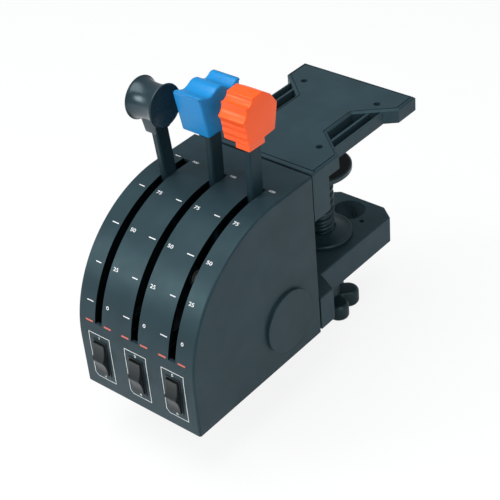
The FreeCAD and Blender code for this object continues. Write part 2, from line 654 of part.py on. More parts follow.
def tooth_points(teeth, middle):
    """(angle, radius) pairs round one tooth, from its root before to its root after, in radians."""
    pitch_radius = GEAR_MODULE * teeth / 2
    base = pitch_radius * math.cos(math.radians(PRESSURE_ANGLE))
    tip = pitch_radius + ADDENDUM * GEAR_MODULE
    root = pitch_radius - DEDENDUM * GEAR_MODULE
    half_thick = (math.pi * GEAR_MODULE / 2 - BACKLASH) / 2 / pitch_radius
    half_base = half_thick + involute_point(base, pitch_radius)
    start = max(base, root)
    radii = [start + (tip - start) * step / 4 for step in range(5)]
    flank = [(half_base - involute_point(base, radius), radius) for radius in radii]
    if root < base:
        flank = [(half_base, root)] + flank
    before = [(middle - angle, radius) for angle, radius in flank]
    after = [(middle + angle, radius) for angle, radius in reversed(flank)]
    return before + after


def toothed_outline(teeth, middles):
    """(y, z) points of a run of teeth round the origin."""
    points = []
    for middle in middles:
        points += [(radius * math.cos(angle), radius * math.sin(angle))
                   for angle, radius in tooth_points(teeth, math.radians(middle))]
    return points


def sector_middles():
    """Directions of the sector's teeth, measured from the stalk."""
    last = SECTOR_GAP_ANGLE + 1.5 * SECTOR_PITCH_ANGLE
    return [last - SECTOR_PITCH_ANGLE * index for index in reversed(range(SECTOR_TEETH))]


def lever_arm(index):
    """Stalk, hub and toothed sector in one moulding, turned to its rest angle."""
    half = STALK_WIDTH / 2
    stalk = box(-half, half, 0, STALK_TOP, -STALK_DEPTH / 2, STALK_DEPTH / 2)
    stalk = bevelled(stalk, STALK_CHAMFER, lambda edge: runs_along(edge, "y") or
                     (lies_at(edge, "y", STALK_TOP) and runs_along(edge, "x")))
    hub = rod_x(-HUB_HALF_WIDTH, HUB_HALF_WIDTH, 0, 0, HUB_RADIUS)
    teeth = prism_x([(0.0, 0.0)] + toothed_outline(SECTOR_FULL_TEETH, sector_middles()),
                    -GEAR_WIDTH / 2, GEAR_WIDTH / 2)
    arm = joined([stalk, hub, teeth])
    windows = []
    middles = sector_middles()
    for share in SECTOR_WINDOWS:
        angle = math.radians(middles[0] + (middles[-1] - middles[0]) * share)
        windows.append(rod_x(-GEAR_WIDTH, GEAR_WIDTH, SECTOR_WINDOW_REACH * math.cos(angle),
                             SECTOR_WINDOW_REACH * math.sin(angle), SECTOR_WINDOW_RADIUS))
    arm = drilled(arm, windows + [rod_x(-20, 20, 0, 0, SHAFT_RADIUS + RUNNING_GAP)])
    return placed_on_lever(arm, index)


def placed_on_lever(shape, index):
    """Turn a shape drawn along +Y from the pivot to its lever's rest angle."""
    moved = shape.copy()
    moved.rotate(Vector(0, 0, 0), Vector(1, 0, 0), REST_ANGLES[index])
    moved.translate(Vector(LEVER_X[index], PIVOT_Y, PIVOT_Z))
    return moved


def pinion_turn(index):
    """Angle that the pinion has turned with its lever since the 100 stop."""
    return -(REST_ANGLES[index] - LEVER_FULL) * SECTOR_FULL_TEETH / PINION_TEETH


def pinion(index):
    """Small gear with its own shaft, which turns in the sensor's bush."""
    step = 360.0 / PINION_TEETH
    facing = MESH_ANGLE + 180.0
    middles = [facing + step * tooth for tooth in range(PINION_TEETH)]
    gear = prism_x(toothed_outline(PINION_TEETH, middles), -GEAR_WIDTH / 2, GEAR_WIDTH / 2)
    reach = sensor_face(index) - 1.0 - LEVER_X[index]
    shaft = rod_x(-GEAR_WIDTH / 2 - 1, reach, 0, 0, SENSOR_SHAFT_RADIUS)
    whole = joined([gear, shaft])
    whole.rotate(Vector(0, 0, 0), Vector(1, 0, 0), pinion_turn(index))
    whole.translate(Vector(LEVER_X[index], SENSOR_Y, SENSOR_Z))
    return whole


def sensor_face(index):
    """Face of the upright that carries a lever's sensor."""
    return UPRIGHT_X[index + 1]


def sensor(index):
    """Rotary sensor: can on the upright, bush towards the pinion."""
    face = sensor_face(index)
    can = rod_x(face - SENSOR_THICKNESS, face, SENSOR_Y, SENSOR_Z, SENSOR_RADIUS)
    bush = rod_x(face - SENSOR_THICKNESS - SENSOR_BUSH_LENGTH, face - SENSOR_THICKNESS,
                 SENSOR_Y, SENSOR_Z, SENSOR_BUSH_RADIUS)
    tabs = box(face - SENSOR_THICKNESS + 1, face - 1, SENSOR_Y - 5, SENSOR_Y + 5,
               SENSOR_Z + SENSOR_RADIUS - 2, SENSOR_Z + SENSOR_RADIUS + 2)
    bore = rod_x(face - SENSOR_THICKNESS - SENSOR_BUSH_LENGTH - 1, face - 1 + MOVING_GAP,
                 SENSOR_Y, SENSOR_Z, SENSOR_SHAFT_RADIUS + RUNNING_GAP)
    return drilled(joined([can, bush, tabs]), [bore])


# ---------------------------------------------------------------- knobs, drawn along the lever
def knob_socket():
    """Room for the stalk inside a knob, open towards the pivot."""
    half_x = STALK_WIDTH / 2 + SOCKET_GAP
    half_z = STALK_DEPTH / 2 + SOCKET_GAP
    return box(-half_x, half_x, STALK_TOP - SOCKET_OPEN, STALK_TOP + SOCKET_GAP, -half_z, half_z)


def knob_prism(edges, width):
    """Extrude a knob's side outline, given as edges in the (along, across) plane."""
    face = Part.Face(Part.Wire(Part.sortEdges(edges)[0]))
    face.translate(Vector(-width / 2, 0, 0))
    return face.extrude(Vector(width, 0, 0))


def at(across, along):
    """Point beside a lever drawn along +Y; across is positive on the user's far side."""
    return Vector(0, along, -across)


def line_run(points):
    """Straight edges through (across, along) points."""
    spots = [at(*point) for point in points]
    return [Part.makeLine(spots[i], spots[i + 1]) for i in range(len(spots) - 1)]


def arc_edge(start, middle, end):
    """Arc through three (across, along) points."""
    return Part.Arc(at(*start), at(*middle), at(*end)).toShape()


def spool_knob():
    """Waisted spool across the lever, with dished ends and a collar over the stalk."""
    half = SPOOL_WIDTH / 2
    rim_in = half - SPOOL_RIM
    profile = Part.Wire([
        Part.makeLine(Vector(-half + SPOOL_DISH, 0, 0), Vector(-half + SPOOL_DISH, SPOOL_RADIUS - 5, 0)),
        Part.makeLine(Vector(-half + SPOOL_DISH, SPOOL_RADIUS - 5, 0), Vector(-half, SPOOL_RADIUS - 1.2, 0)),
        Part.Arc(Vector(-half, SPOOL_RADIUS - 1.2, 0), Vector(-half + 0.35, SPOOL_RADIUS - 0.3, 0),
                 Vector(-rim_in, SPOOL_RADIUS, 0)).toShape(),
        Part.Arc(Vector(-rim_in, SPOOL_RADIUS, 0), Vector(0, SPOOL_WAIST, 0),
                 Vector(rim_in, SPOOL_RADIUS, 0)).toShape(),
        Part.Arc(Vector(rim_in, SPOOL_RADIUS, 0), Vector(half - 0.35, SPOOL_RADIUS - 0.3, 0),
                 Vector(half, SPOOL_RADIUS - 1.2, 0)).toShape(),
        Part.makeLine(Vector(half, SPOOL_RADIUS - 1.2, 0), Vector(half - SPOOL_DISH, SPOOL_RADIUS - 5, 0)),
        Part.makeLine(Vector(half - SPOOL_DISH, SPOOL_RADIUS - 5, 0), Vector(half - SPOOL_DISH, 0, 0)),
        Part.makeLine(Vector(half - SPOOL_DISH, 0, 0), Vector(-half + SPOOL_DISH, 0, 0)),
    ])
    spool = Part.Face(profile).revolve(Vector(0, 0, 0), Vector(1, 0, 0), 360)
    spool.translate(Vector(0, SPOOL_CENTRE, 0))
    collar = box(-9.0, STALK_WIDTH / 2 + 1.4, SPOOL_CENTRE - 19.5, SPOOL_CENTRE - SPOOL_WAIST + 4,
                 -STALK_DEPTH / 2 - 1.2, STALK_DEPTH / 2 + 1.2)
    collar = rounded(collar, 1.0, lambda edge: runs_along(edge, "y"))
    return drilled(joined([spool, collar]), [knob_socket()])


def blue_knob():
    """Block that narrows downwards, with a waved top."""
    wave = Part.BSplineCurve()
    wave.interpolate([at(*point) for point in (BLUE_FRONT_TOP,) + BLUE_WAVE + (BLUE_BACK_TOP,)])
    edges = [wave.toShape()] + line_run([BLUE_BACK_TOP, BLUE_BACK_LOW, BLUE_FRONT_LOW, BLUE_FRONT_TOP])
    knob = knob_prism(edges, BLUE_WIDTH)
    half = BLUE_WIDTH / 2
    wedge = [(-half - 1, BLUE_BOTTOM - 1), (-1.5, BLUE_BOTTOM - 1), (-1.5, BLUE_BOTTOM),
             (-half - 1, BLUE_BOTTOM + 3.2)]
    knob = knob.cut(prism_z(wedge, -BLUE_CUTTER, BLUE_CUTTER))
    knob = rounded(knob, KNOB_ROUND, lambda edge: lies_at(edge, "x", half) or lies_at(edge, "x", -half)
                   or (runs_along(edge, "x") and edge.CenterOfMass.y > BLUE_BOTTOM + 20))
    return drilled(knob, [knob_socket()])


def orange_knob():
    """Many-sided knob with finger scallops on the user's side and a half collar below."""
    first, second, third = ORANGE_CORNERS
    edges = line_run([ORANGE_TOP, first])
    edges.append(arc_edge(first, ORANGE_HOLLOWS[0], second))
    edges.append(arc_edge(second, ORANGE_HOLLOWS[1], third))
    edges += line_run([third, ORANGE_NOTCH])
    edges.append(arc_edge(ORANGE_NOTCH, ORANGE_GRIP, ORANGE_FRONT_LOW))
    edges += line_run([ORANGE_FRONT_LOW, ORANGE_MIDDLE_LOW] + list(ORANGE_BACK) + [ORANGE_TOP])
    knob = knob_prism(edges, ORANGE_WIDTH)
    half = ORANGE_WIDTH / 2
    collar = box(0.0, half, ORANGE_COLLAR_BOTTOM, ORANGE_BOTTOM + 2, ORANGE_COLLAR_MIDDLE, ORANGE_COLLAR_END)
    collar = collar.fuse(box(0.0, half, ORANGE_COLLAR_BOTTOM, ORANGE_BOTTOM + 2,
                             -ORANGE_COLLAR_MIDDLE, ORANGE_COLLAR_MIDDLE))
    knob = joined([knob, collar])
    knob = rounded(knob, 0.7, lambda edge: edge.BoundBox.YMin > ORANGE_BOTTOM + 3 and
                   (lies_at(edge, "x", half) or lies_at(edge, "x", -half)))
    return drilled(knob, [knob_socket()])


def knob(index):
    """The knob of one lever, at the lever's rest angle."""
    makers = (spool_knob, blue_knob, orange_knob)
    return placed_on_lever(makers[index](), index)


# ---------------------------------------------------------------- rocker switches
def rocker_cap(index):
    """Rocker with a raised ridge, turning on two small pins."""
    half = ROCKER_HEIGHT / 2
    back = ROCKER_PIVOT_Y + 3
    left = -ROCKER_WIDTH / 2

    def spot(y, z):
        return Vector(left, y, ROCKER_Z + z)

    dished = [Part.Arc(spot(-ROCKER_TIP, side * half), spot(-ROCKER_TIP - ROCKER_DISH, side * half * 0.45),
                       spot(-ROCKER_RIDGE, side * 0.5)).toShape() for side in (1, -1)]
    rest = [spot(-ROCKER_TIP, -half), spot(1.2, -half + 0.6), spot(back, -4.5), spot(back, 4.5),
            spot(1.2, half - 0.6), spot(-ROCKER_TIP, half)]
    straight = [Part.makeLine(rest[i], rest[i + 1]) for i in range(len(rest) - 1)]
    straight.append(Part.makeLine(spot(-ROCKER_RIDGE, 0.5), spot(-ROCKER_RIDGE, -0.5)))
    wire = Part.Wire(Part.sortEdges(dished + straight)[0])
    cap = Part.Face(wire).extrude(Vector(ROCKER_WIDTH, 0, 0))
    cap = rounded(cap, 0.4, lambda edge: edge.BoundBox.YMax < 0 and not runs_along(edge, "x"))
    reach = SWITCH_INNER_X + SWITCH_WALL * 0.7
    cap = joined([cap, rod_x(-reach, reach, ROCKER_PIVOT_Y, ROCKER_Z, ROCKER_PIN_RADIUS)])
    cap.translate(Vector(LEVER_X[index], 0, 0))
    return cap


def rocker_housing(index):
    """Open-fronted switch case with a thin bezel and three blade terminals."""
    x = LEVER_X[index]
    front = -SWITCH_LIP
    case = box(-SWITCH_OUTER_X, SWITCH_OUTER_X, front, SWITCH_DEPTH,
               ROCKER_Z - SWITCH_OUTER_Z, ROCKER_Z + SWITCH_OUTER_Z)
    clips = [box(-SWITCH_OUTER_X - 1, SWITCH_OUTER_X + 1, WALL, WALL + 2,
                 ROCKER_Z - SWITCH_OUTER_Z + 4, ROCKER_Z + SWITCH_OUTER_Z - 4)]
    for step in (-1, 0, 1):
        clips.append(box(-0.4, 0.4, SWITCH_DEPTH, SWITCH_DEPTH + 6,
                         ROCKER_Z + step * 8 - 2.2, ROCKER_Z + step * 8 + 2.2))
    case = joined([case] + clips)
    room = box(-SWITCH_INNER_X, SWITCH_INNER_X, front - 1, SWITCH_DEPTH - 2,
               ROCKER_Z - SWITCH_INNER_Z, ROCKER_Z + SWITCH_INNER_Z)
    pins = rod_x(-SWITCH_OUTER_X - 2, SWITCH_OUTER_X + 2, ROCKER_PIVOT_Y, ROCKER_Z,
                 ROCKER_PIN_RADIUS + RUNNING_GAP)
    case = drilled(case, [room, pins])
    case.translate(Vector(x, 0, 0))
    return case


def end_switches():
    """Small switches that each lever presses behind its idle stop."""
    made = []
    top = end_switch_top()
    for x in LEVER_X:
        body = box(x - END_SWITCH_WIDTH / 2, x + END_SWITCH_WIDTH / 2, END_SWITCH_Y - END_SWITCH_LENGTH / 2,
                   END_SWITCH_Y + END_SWITCH_LENGTH / 2, top - END_SWITCH_HEIGHT, top - END_SWITCH_TIP)
        tip = box(x - END_SWITCH_TIP, x + END_SWITCH_TIP, END_SWITCH_Y, END_SWITCH_Y + 2 * END_SWITCH_TIP,
                  top - END_SWITCH_TIP, top)
        made.append(joined([body, tip]))
    return group(made)


# ---------------------------------------------------------------- bracket
def deck_outline(rear):
    """Plan of the upper deck, which narrows to a waist."""
    return mirrored_outline([
        (ARM_HALF_WIDTH, BRACKET_Y + 1), (ARM_HALF_WIDTH, DESK_HOLE_FRONT_Y - 1),
        (WAIST_HALF_WIDTH, DESK_HOLE_FRONT_Y + WAIST_RUN), (WAIST_HALF_WIDTH, DESK_HOLE_REAR_Y - WAIST_RUN),
        (ARM_HALF_WIDTH, DESK_HOLE_REAR_Y + 2), (ARM_HALF_WIDTH, rear)])


def upper_arm():
    """Waisted top plate with side rails, front block and cheeks, in one moulding."""
    front = BRACKET_Y + 1
    under = mirrored_outline([
        (ARM_HALF_WIDTH, front), (ARM_HALF_WIDTH, DESK_HOLE_FRONT_Y + 1), (RAIL_OUTER, DESK_HOLE_FRONT_Y + 6),
        (RAIL_OUTER, DESK_HOLE_REAR_Y - 8), (ARM_HALF_WIDTH, DESK_HOLE_REAR_Y + 2),
        (ARM_HALF_WIDTH, ARM_REAR_Y)])
    tray = prism_z(under, ARM_UNDERSIDE, DECK_TOP - RAIL_DROP)
    deck = prism_z(deck_outline(ARM_REAR_Y), DECK_TOP - POCKET_DEPTH, DECK_TOP)
    rail_inner = RAIL_OUTER - RAIL_WIDTH
    pockets = []
    for side in (-1, 1):
        for x0, x1 in ((WAIST_HALF_WIDTH - 3, RIB_X), (RIB_X + RIB_WIDTH, rail_inner)):
            low, high = sorted((side * x0, side * x1))
            pockets.append(box(low, high, DESK_HOLE_FRONT_Y + 5, DESK_HOLE_REAR_Y - 6,
                               DECK_TOP - POCKET_DEPTH, DECK_TOP + 1))
    tray = tray.cut(pockets)
    wall = box(-ARM_HALF_WIDTH, ARM_HALF_WIDTH, front, front + BLOCK_WALL, CHEEK_BOTTOM, ARM_UNDERSIDE)
    seat = box(-SPINE_HALF_WIDTH, SPINE_HALF_WIDTH, front, CHEEK_REAR_Y - 1, CHEEK_BOTTOM,
               CHEEK_BOTTOM + SPINE_PLATE)
    cheeks = [box(min(a, b), max(a, b), front, CHEEK_REAR_Y, CHEEK_BOTTOM, ARM_UNDERSIDE)
              for a, b in ((ARM_HALF_WIDTH - CHEEK_THICKNESS, ARM_HALF_WIDTH),
                           (-ARM_HALF_WIDTH, -ARM_HALF_WIDTH + CHEEK_THICKNESS))]
    ribs = [box(x - 1.5, x + 1.5, front, CHEEK_REAR_Y - 1, CHEEK_BOTTOM, ARM_UNDERSIDE)
            for x in (-SPINE_HALF_WIDTH + 1.5, 0, SPINE_HALF_WIDTH - 1.5)]
    arm = joined([tray, deck, wall, seat] + cheeks + ribs)
    groove = box(-ARM_HALF_WIDTH - 1, ARM_HALF_WIDTH + 1, front + GROOVE_REACH,
                 front + GROOVE_REACH + GROOVE_WIDTH, DECK_TOP - GROOVE_DEPTH, DECK_TOP + 1)
    holes = [rod_z(ARM_UNDERSIDE - 1, DECK_TOP + 1, x, y, DESK_HOLE_RADIUS)
             for x in (-DESK_HOLE_X, DESK_HOLE_X) for y in (DESK_HOLE_FRONT_Y, DESK_HOLE_REAR_Y)]
    arm = bevelled(arm, DECK_BEVEL, lambda edge: lies_at(edge, "z", DECK_TOP) and
                   not lies_at(edge, "y", front))
    spine_screws = [rod_z(CHEEK_BOTTOM - 1, CHEEK_BOTTOM + SPINE_PLATE + 1, x, SPINE_SCREW_Y,
                          BRACKET_SCREW_RADIUS) for x in (-SPINE_SCREW_X, SPINE_SCREW_X)]
    return drilled(arm, [groove] + holes + spine_screws)


def spine():
    """Channel that joins the two arms and bolts to the housing."""
    low = LOWER_BLOCK_TOP
    high = CHEEK_BOTTOM
    rear = BRACKET_Y + SPINE_DEPTH
    pieces = [box(-SPINE_HALF_WIDTH, SPINE_HALF_WIDTH, BRACKET_Y, BRACKET_Y + SPINE_PLATE, low, high),
              box(-SPINE_HALF_WIDTH, SPINE_HALF_WIDTH, BRACKET_Y, rear, low, low + SPINE_PLATE),
              box(-SPINE_HALF_WIDTH, SPINE_HALF_WIDTH, BRACKET_Y, rear, high - SPINE_PLATE, high)]
    for x in (-SPINE_HALF_WIDTH, SPINE_HALF_WIDTH - SPINE_PLATE):
        pieces.append(box(x, x + SPINE_PLATE, BRACKET_Y, rear, low, high))
    channel = joined(pieces)
    cutters = [rod_y(BRACKET_Y - 1, BRACKET_Y + SPINE_PLATE + 1, x, z, BRACKET_SCREW_RADIUS)
               for x, z in bracket_screw_places()]
    for x in (-SPINE_SCREW_X, SPINE_SCREW_X):
        cutters.append(rod_z(low - 1, high + 1, x, SPINE_SCREW_Y, BRACKET_SCREW_RADIUS))
    return drilled(channel, cutters)


def lower_arm():
    """Lower block and arm with the two clamp positions."""
    front = BRACKET_Y + 2
    block = prism_z(mirrored_outline([(ARM_HALF_WIDTH, front), (ARM_HALF_WIDTH, LOWER_BLOCK_REAR_Y - 1),
                                      (LOWER_ARM_HALF_WIDTH, LOWER_BLOCK_REAR_Y + 8.5)]),
                    LOWER_BLOCK_BOTTOM, LOWER_BLOCK_TOP)
    arm = prism_z(mirrored_outline([(LOWER_ARM_HALF_WIDTH, LOWER_BLOCK_REAR_Y),
                                    (LOWER_ARM_HALF_WIDTH, ARM_REAR_Y - LOWER_ARM_CORNER),
                                    (LOWER_ARM_HALF_WIDTH - 1.3 * LOWER_ARM_CORNER, ARM_REAR_Y)]),
                  LOWER_ARM_BOTTOM, LOWER_ARM_TOP)
    block = bevelled(block, 0.8, lambda edge: lies_at(edge, "z", LOWER_BLOCK_TOP))
    arm = bevelled(arm, 0.8, lambda edge: lies_at(edge, "z", LOWER_ARM_TOP))
    whole = joined([block, arm])
    cutters = [rod_z(LOWER_ARM_BOTTOM - 1, LOWER_ARM_TOP + 1, 0, y, ARM_HOLE_RADIUS)
               for y in (SCREW_Y, SPARE_HOLE_Y)]
    for y in (SCREW_Y, SPARE_HOLE_Y):
        for x in (-NUT_SCREW_X, NUT_SCREW_X):
            cutters.append(rod_z(LOWER_ARM_TOP - 12, LOWER_ARM_TOP + 1, x, y + NUT_SCREW_Y, NUT_SCREW_RADIUS))
    for x in (-SPINE_SCREW_X, SPINE_SCREW_X):
        cutters.append(rod_z(LOWER_BLOCK_TOP - 12, LOWER_BLOCK_TOP + 1, x, SPINE_SCREW_Y,
                             BRACKET_SCREW_RADIUS))
    return drilled(whole, cutters)


def desk_pad():
    """Rubber sheet under the upper arm, which rests on the desk."""
    half = WAIST_HALF_WIDTH - 1
    pad = box(-half, half, DESK_HOLE_FRONT_Y - 8, ARM_REAR_Y - 3, DESK_FACE_Z, ARM_UNDERSIDE)
    return rounded(pad, 3.0, lambda edge: runs_along(edge, "z"))


def cap_screw(radius, length, head_height):
    """Socket-head screw along +Z, its head on top of Z = 0."""
    head = rod_z(0, head_height, 0, 0, radius * 1.8)
    shank = rod_z(-length, 0, 0, 0, radius)
    socket = rod_z(head_height - 1.8, head_height + 1, 0, 0, radius * 0.9)
    return drilled(joined([head, shank]), [socket])


def bracket_screws():
    """Screws from the spine into the rear cover's bosses."""
    made = []
    for x, z in bracket_screw_places():
        screw = cap_screw(BRACKET_SCREW_RADIUS, SPINE_PLATE + REAR_GAP + PLATE + 4, CAP_HEAD_HEIGHT)
        screw.rotate(Vector(0, 0, 0), Vector(1, 0, 0), -90)
        screw.translate(Vector(x, BRACKET_Y + SPINE_PLATE, z))
        made.append(screw)
    return group(made)


def spine_screws():
    """Screws that join the spine's two flanges to the arms."""
    made = []
    for x in (-SPINE_SCREW_X, SPINE_SCREW_X):
        lower = cap_screw(BRACKET_SCREW_RADIUS, SPINE_PLATE + 10, CAP_HEAD_HEIGHT)
        lower.translate(Vector(x, SPINE_SCREW_Y, LOWER_BLOCK_TOP + SPINE_PLATE))
        upper = cap_screw(BRACKET_SCREW_RADIUS, 2 * SPINE_PLATE, CAP_HEAD_HEIGHT)
        upper.rotate(Vector(0, 0, 0), Vector(1, 0, 0), 180)
        upper.translate(Vector(x, SPINE_SCREW_Y, CHEEK_BOTTOM - SPINE_PLATE))
        made += [lower, upper]
    return group(made)


# ---------------------------------------------------------------- clamp
def turned(profile, x, y):
    """Revolve an (r, z) profile about an upright axis."""
    wire = Part.makePolygon([Vector(r, 0, z) for r, z in profile + profile[:1]])
    solid = Part.Face(wire).revolve(Vector(0, 0, 0), Vector(0, 0, 1), 360)
    solid.translate(Vector(x, y, 0))
    return solid


def clamp_nut():
    """Flange nut on the lower arm, with a low conical hub."""
    low = LOWER_ARM_TOP
    bore = SCREW_RADIUS + SCREW_GAP
    profile = [(bore, low - 12), (ARM_HOLE_RADIUS - FIT_GAP, low - 12), (ARM_HOLE_RADIUS - FIT_GAP, low),
               (NUT_RADIUS - 1.5, low), (NUT_RADIUS, low + 1.5), (NUT_RADIUS, low + 3.0),
               (NUT_RADIUS - 1.2, low + NUT_THICKNESS), (NUT_RADIUS - 3.5, low + NUT_THICKNESS),
               (NUT_HUB_RADIUS, low + NUT_THICKNESS - 1), (bore + 2.5, low + NUT_THICKNESS + NUT_HUB_HEIGHT),
               (bore, low + NUT_THICKNESS + NUT_HUB_HEIGHT)]
    nut = turned(profile, 0, SCREW_Y)
    holes = [rod_z(low - 1, low + 20, x, SCREW_Y + NUT_SCREW_Y, NUT_SCREW_RADIUS)
             for x in (-NUT_SCREW_X, NUT_SCREW_X)]
    seats = [rod_z(low + NUT_SEAT, low + 20, x, SCREW_Y + NUT_SCREW_Y, NUT_SCREW_RADIUS * 1.8 + FIT_GAP)
             for x in (-NUT_SCREW_X, NUT_SCREW_X)]
    return drilled(nut, holes + seats)


def nut_screws():
    """Two screws that hold the flange nut down."""
    made = []
    for x in (-NUT_SCREW_X, NUT_SCREW_X):
        screw = cap_screw(NUT_SCREW_RADIUS, NUT_SCREW_LENGTH, NUT_SCREW_HEAD)
        screw.translate(Vector(x, SCREW_Y + NUT_SCREW_Y, LOWER_ARM_TOP + NUT_SEAT))
        made.append(screw)
    return group(made)


def clamp_screw():
    """Coarse screw from the star knob to the pad, with a plain nose."""
    profile = [(0.0, STAR_BOTTOM + STAR_FLOOR), (STAR_STEM_RADIUS, STAR_BOTTOM + STAR_FLOOR),
               (STAR_STEM_RADIUS, STAR_TOP + STAR_DOME),
               (SCREW_RADIUS - 1, STAR_TOP + STAR_DOME), (SCREW_RADIUS, STAR_TOP + STAR_DOME + 1),
               (SCREW_RADIUS, PAD_BOTTOM - PAD_HUB_HEIGHT - MOVING_GAP - 1),
               (SCREW_RADIUS - 1, PAD_BOTTOM - PAD_HUB_HEIGHT - MOVING_GAP),
               (NOSE_RADIUS, PAD_BOTTOM - PAD_HUB_HEIGHT - MOVING_GAP),
               (NOSE_RADIUS, PAD_BOTTOM - PAD_SEAT), (0.0, PAD_BOTTOM - PAD_SEAT)]
    return turned(profile, 0, SCREW_Y)


def clamp_pad():
    """Swivelling pad: disc with a raised rim on a round hub over the screw's nose."""
    low = PAD_BOTTOM - PAD_HUB_HEIGHT
    top = PAD_BOTTOM + PAD_THICKNESS
    profile = [(NOSE_RADIUS + RUNNING_GAP, low), (PAD_HUB_RADIUS - 1, low), (PAD_HUB_RADIUS, low + 1),
               (PAD_HUB_RADIUS, PAD_BOTTOM - 2), (PAD_HUB_RADIUS + 2, PAD_BOTTOM),
               (PAD_RADIUS - 1.5, PAD_BOTTOM), (PAD_RADIUS, PAD_BOTTOM + 1.5),
               (PAD_RADIUS, top + PAD_FACE - 1.0), (PAD_RADIUS - 0.8, top + PAD_FACE - 0.2),
               (PAD_RADIUS - 2.2, top + PAD_FACE - 0.2), (PAD_RADIUS - 2.2, top), (0.0, top),
               (0.0, PAD_BOTTOM - PAD_SEAT + MOVING_GAP),
               (NOSE_RADIUS + RUNNING_GAP, PAD_BOTTOM - PAD_SEAT + MOVING_GAP)]
    return turned(profile, 0, SCREW_Y)


def pad_face():
    """Rubber disc let into the clamp pad."""
    top = PAD_BOTTOM + PAD_THICKNESS
    return rod_z(top, PAD_TOP, 0, SCREW_Y, PAD_RADIUS - 2.2 - FIT_GAP)


def star_knob():
    """Five-lobed hand knob with a domed hub, fixed to the screw's lower end."""
    lobes = [turned([(0.0, STAR_BOTTOM), (STAR_HUB_RADIUS - 1, STAR_BOTTOM),
                     (STAR_HUB_RADIUS, STAR_BOTTOM + 1), (STAR_HUB_RADIUS, STAR_TOP), (STAR_HUB_RADIUS - 3, STAR_TOP + STAR_DOME - 1.5),
                     (STAR_HUB_RADIUS - 5.5, STAR_TOP + STAR_DOME), (0.0, STAR_TOP + STAR_DOME)], 0, 0)]
    for index in range(STAR_LOBES):
        reach = STAR_RADIUS - STAR_LOBE_RADIUS
        lobe = rod_z(STAR_BOTTOM, STAR_TOP, reach, 0, STAR_LOBE_RADIUS)
        lobe = lobe.fuse(box(0, reach, -6.0, 6.0, STAR_BOTTOM, STAR_TOP)).removeSplitter()
        lobe = rounded(lobe, STAR_ROUND, lambda edge: lies_at(edge, "z", STAR_TOP) or
                       lies_at(edge, "z", STAR_BOTTOM))
        lobe.rotate(Vector(0, 0, 0), Vector(0, 0, 1), STAR_FIRST_LOBE + index * 360.0 / STAR_LOBES)
        lobes.append(lobe)
    star = joined(lobes)
    star.translate(Vector(0, SCREW_Y, 0))
    return drilled(star, [rod_z(STAR_BOTTOM + STAR_FLOOR, STAR_TOP + STAR_DOME + 1, 0, SCREW_Y,
                                STAR_STEM_RADIUS)])


# ---------------------------------------------------------------- the whole assembly
def assembly():
    """Every node's name and shape, in the body frame."""
    seat_y = BODY_DEPTH - SCREW_HEAD_HEIGHT
    board_top = FLOOR_TOP + BOARD_STANDOFF + BOARD_THICKNESS
    nodes = {
        "main_shell": main_shell(),
        "rear_cover": rear_cover(),
        "base_plate": base_plate(),
        "chassis": chassis(),
        "circuit_board": circuit_board(),
        "board_parts": board_parts(),
        "cable_gland": cable_gland(),
        "lever_shaft": lever_shaft(),
        "friction_rings": friction_rings(),
        "shaft_spacers": shaft_spacers(),
        "end_switches": end_switches(),
        "rear_cover_screws": screws_along_y(rear_cover_screw_places(), seat_y, REAR_COVER_SCREW),
        "base_screws": screws_along_z(base_screw_places(), SCREW_HEAD_HEIGHT, BASE_SCREW, True),
        "board_screws": screws_along_z(board_post_places(), board_top, BOARD_SCREW, False),
        "upper_arm": upper_arm(),
        "desk_pad": desk_pad(),
        "spine": spine(),
        "lower_arm": lower_arm(),
        "bracket_screws": bracket_screws(),
        "spine_screws": spine_screws(),
        "clamp_nut": clamp_nut(),
        "nut_screws": nut_screws(),
        "clamp_screw": clamp_screw(),
        "star_knob": star_knob(),
        "clamp_pad": clamp_pad(),
        "pad_face": pad_face(),
    }
    for index in range(len(LEVER_X)):
        number = index + 1
        nodes["lever_arm_%d" % number] = lever_arm(index)
        nodes["pinion_%d" % number] = pinion(index)
        nodes["sensor_%d" % number] = sensor(index)
        nodes["rocker_cap_%d" % number] = rocker_cap(index)
        nodes["rocker_housing_%d" % number] = rocker_housing(index)
    nodes["spool_knob"] = knob(0)
    nodes["block_knob"] = knob(1)
    nodes["scallop_knob"] = knob(2)
    return nodes


def export(nodes):
    """Write each node's STEP file in the part's own frame."""
    os.makedirs("parts", exist_ok=True)
    for name, shape in nodes.items():
        moved = shape.copy()
        moved.translate(ROW_ORIGIN.negative())
        moved.exportStep("parts/%s.step" % name)
        print(name, len(moved.Solids), "solids", "valid" if moved.isValid() else "INVALID",
              round(moved.Volume / 1000, 2), "cm3")


export(assembly())
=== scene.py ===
import json
import math

import bmesh
import bpy
from mathutils import Matrix, Vector


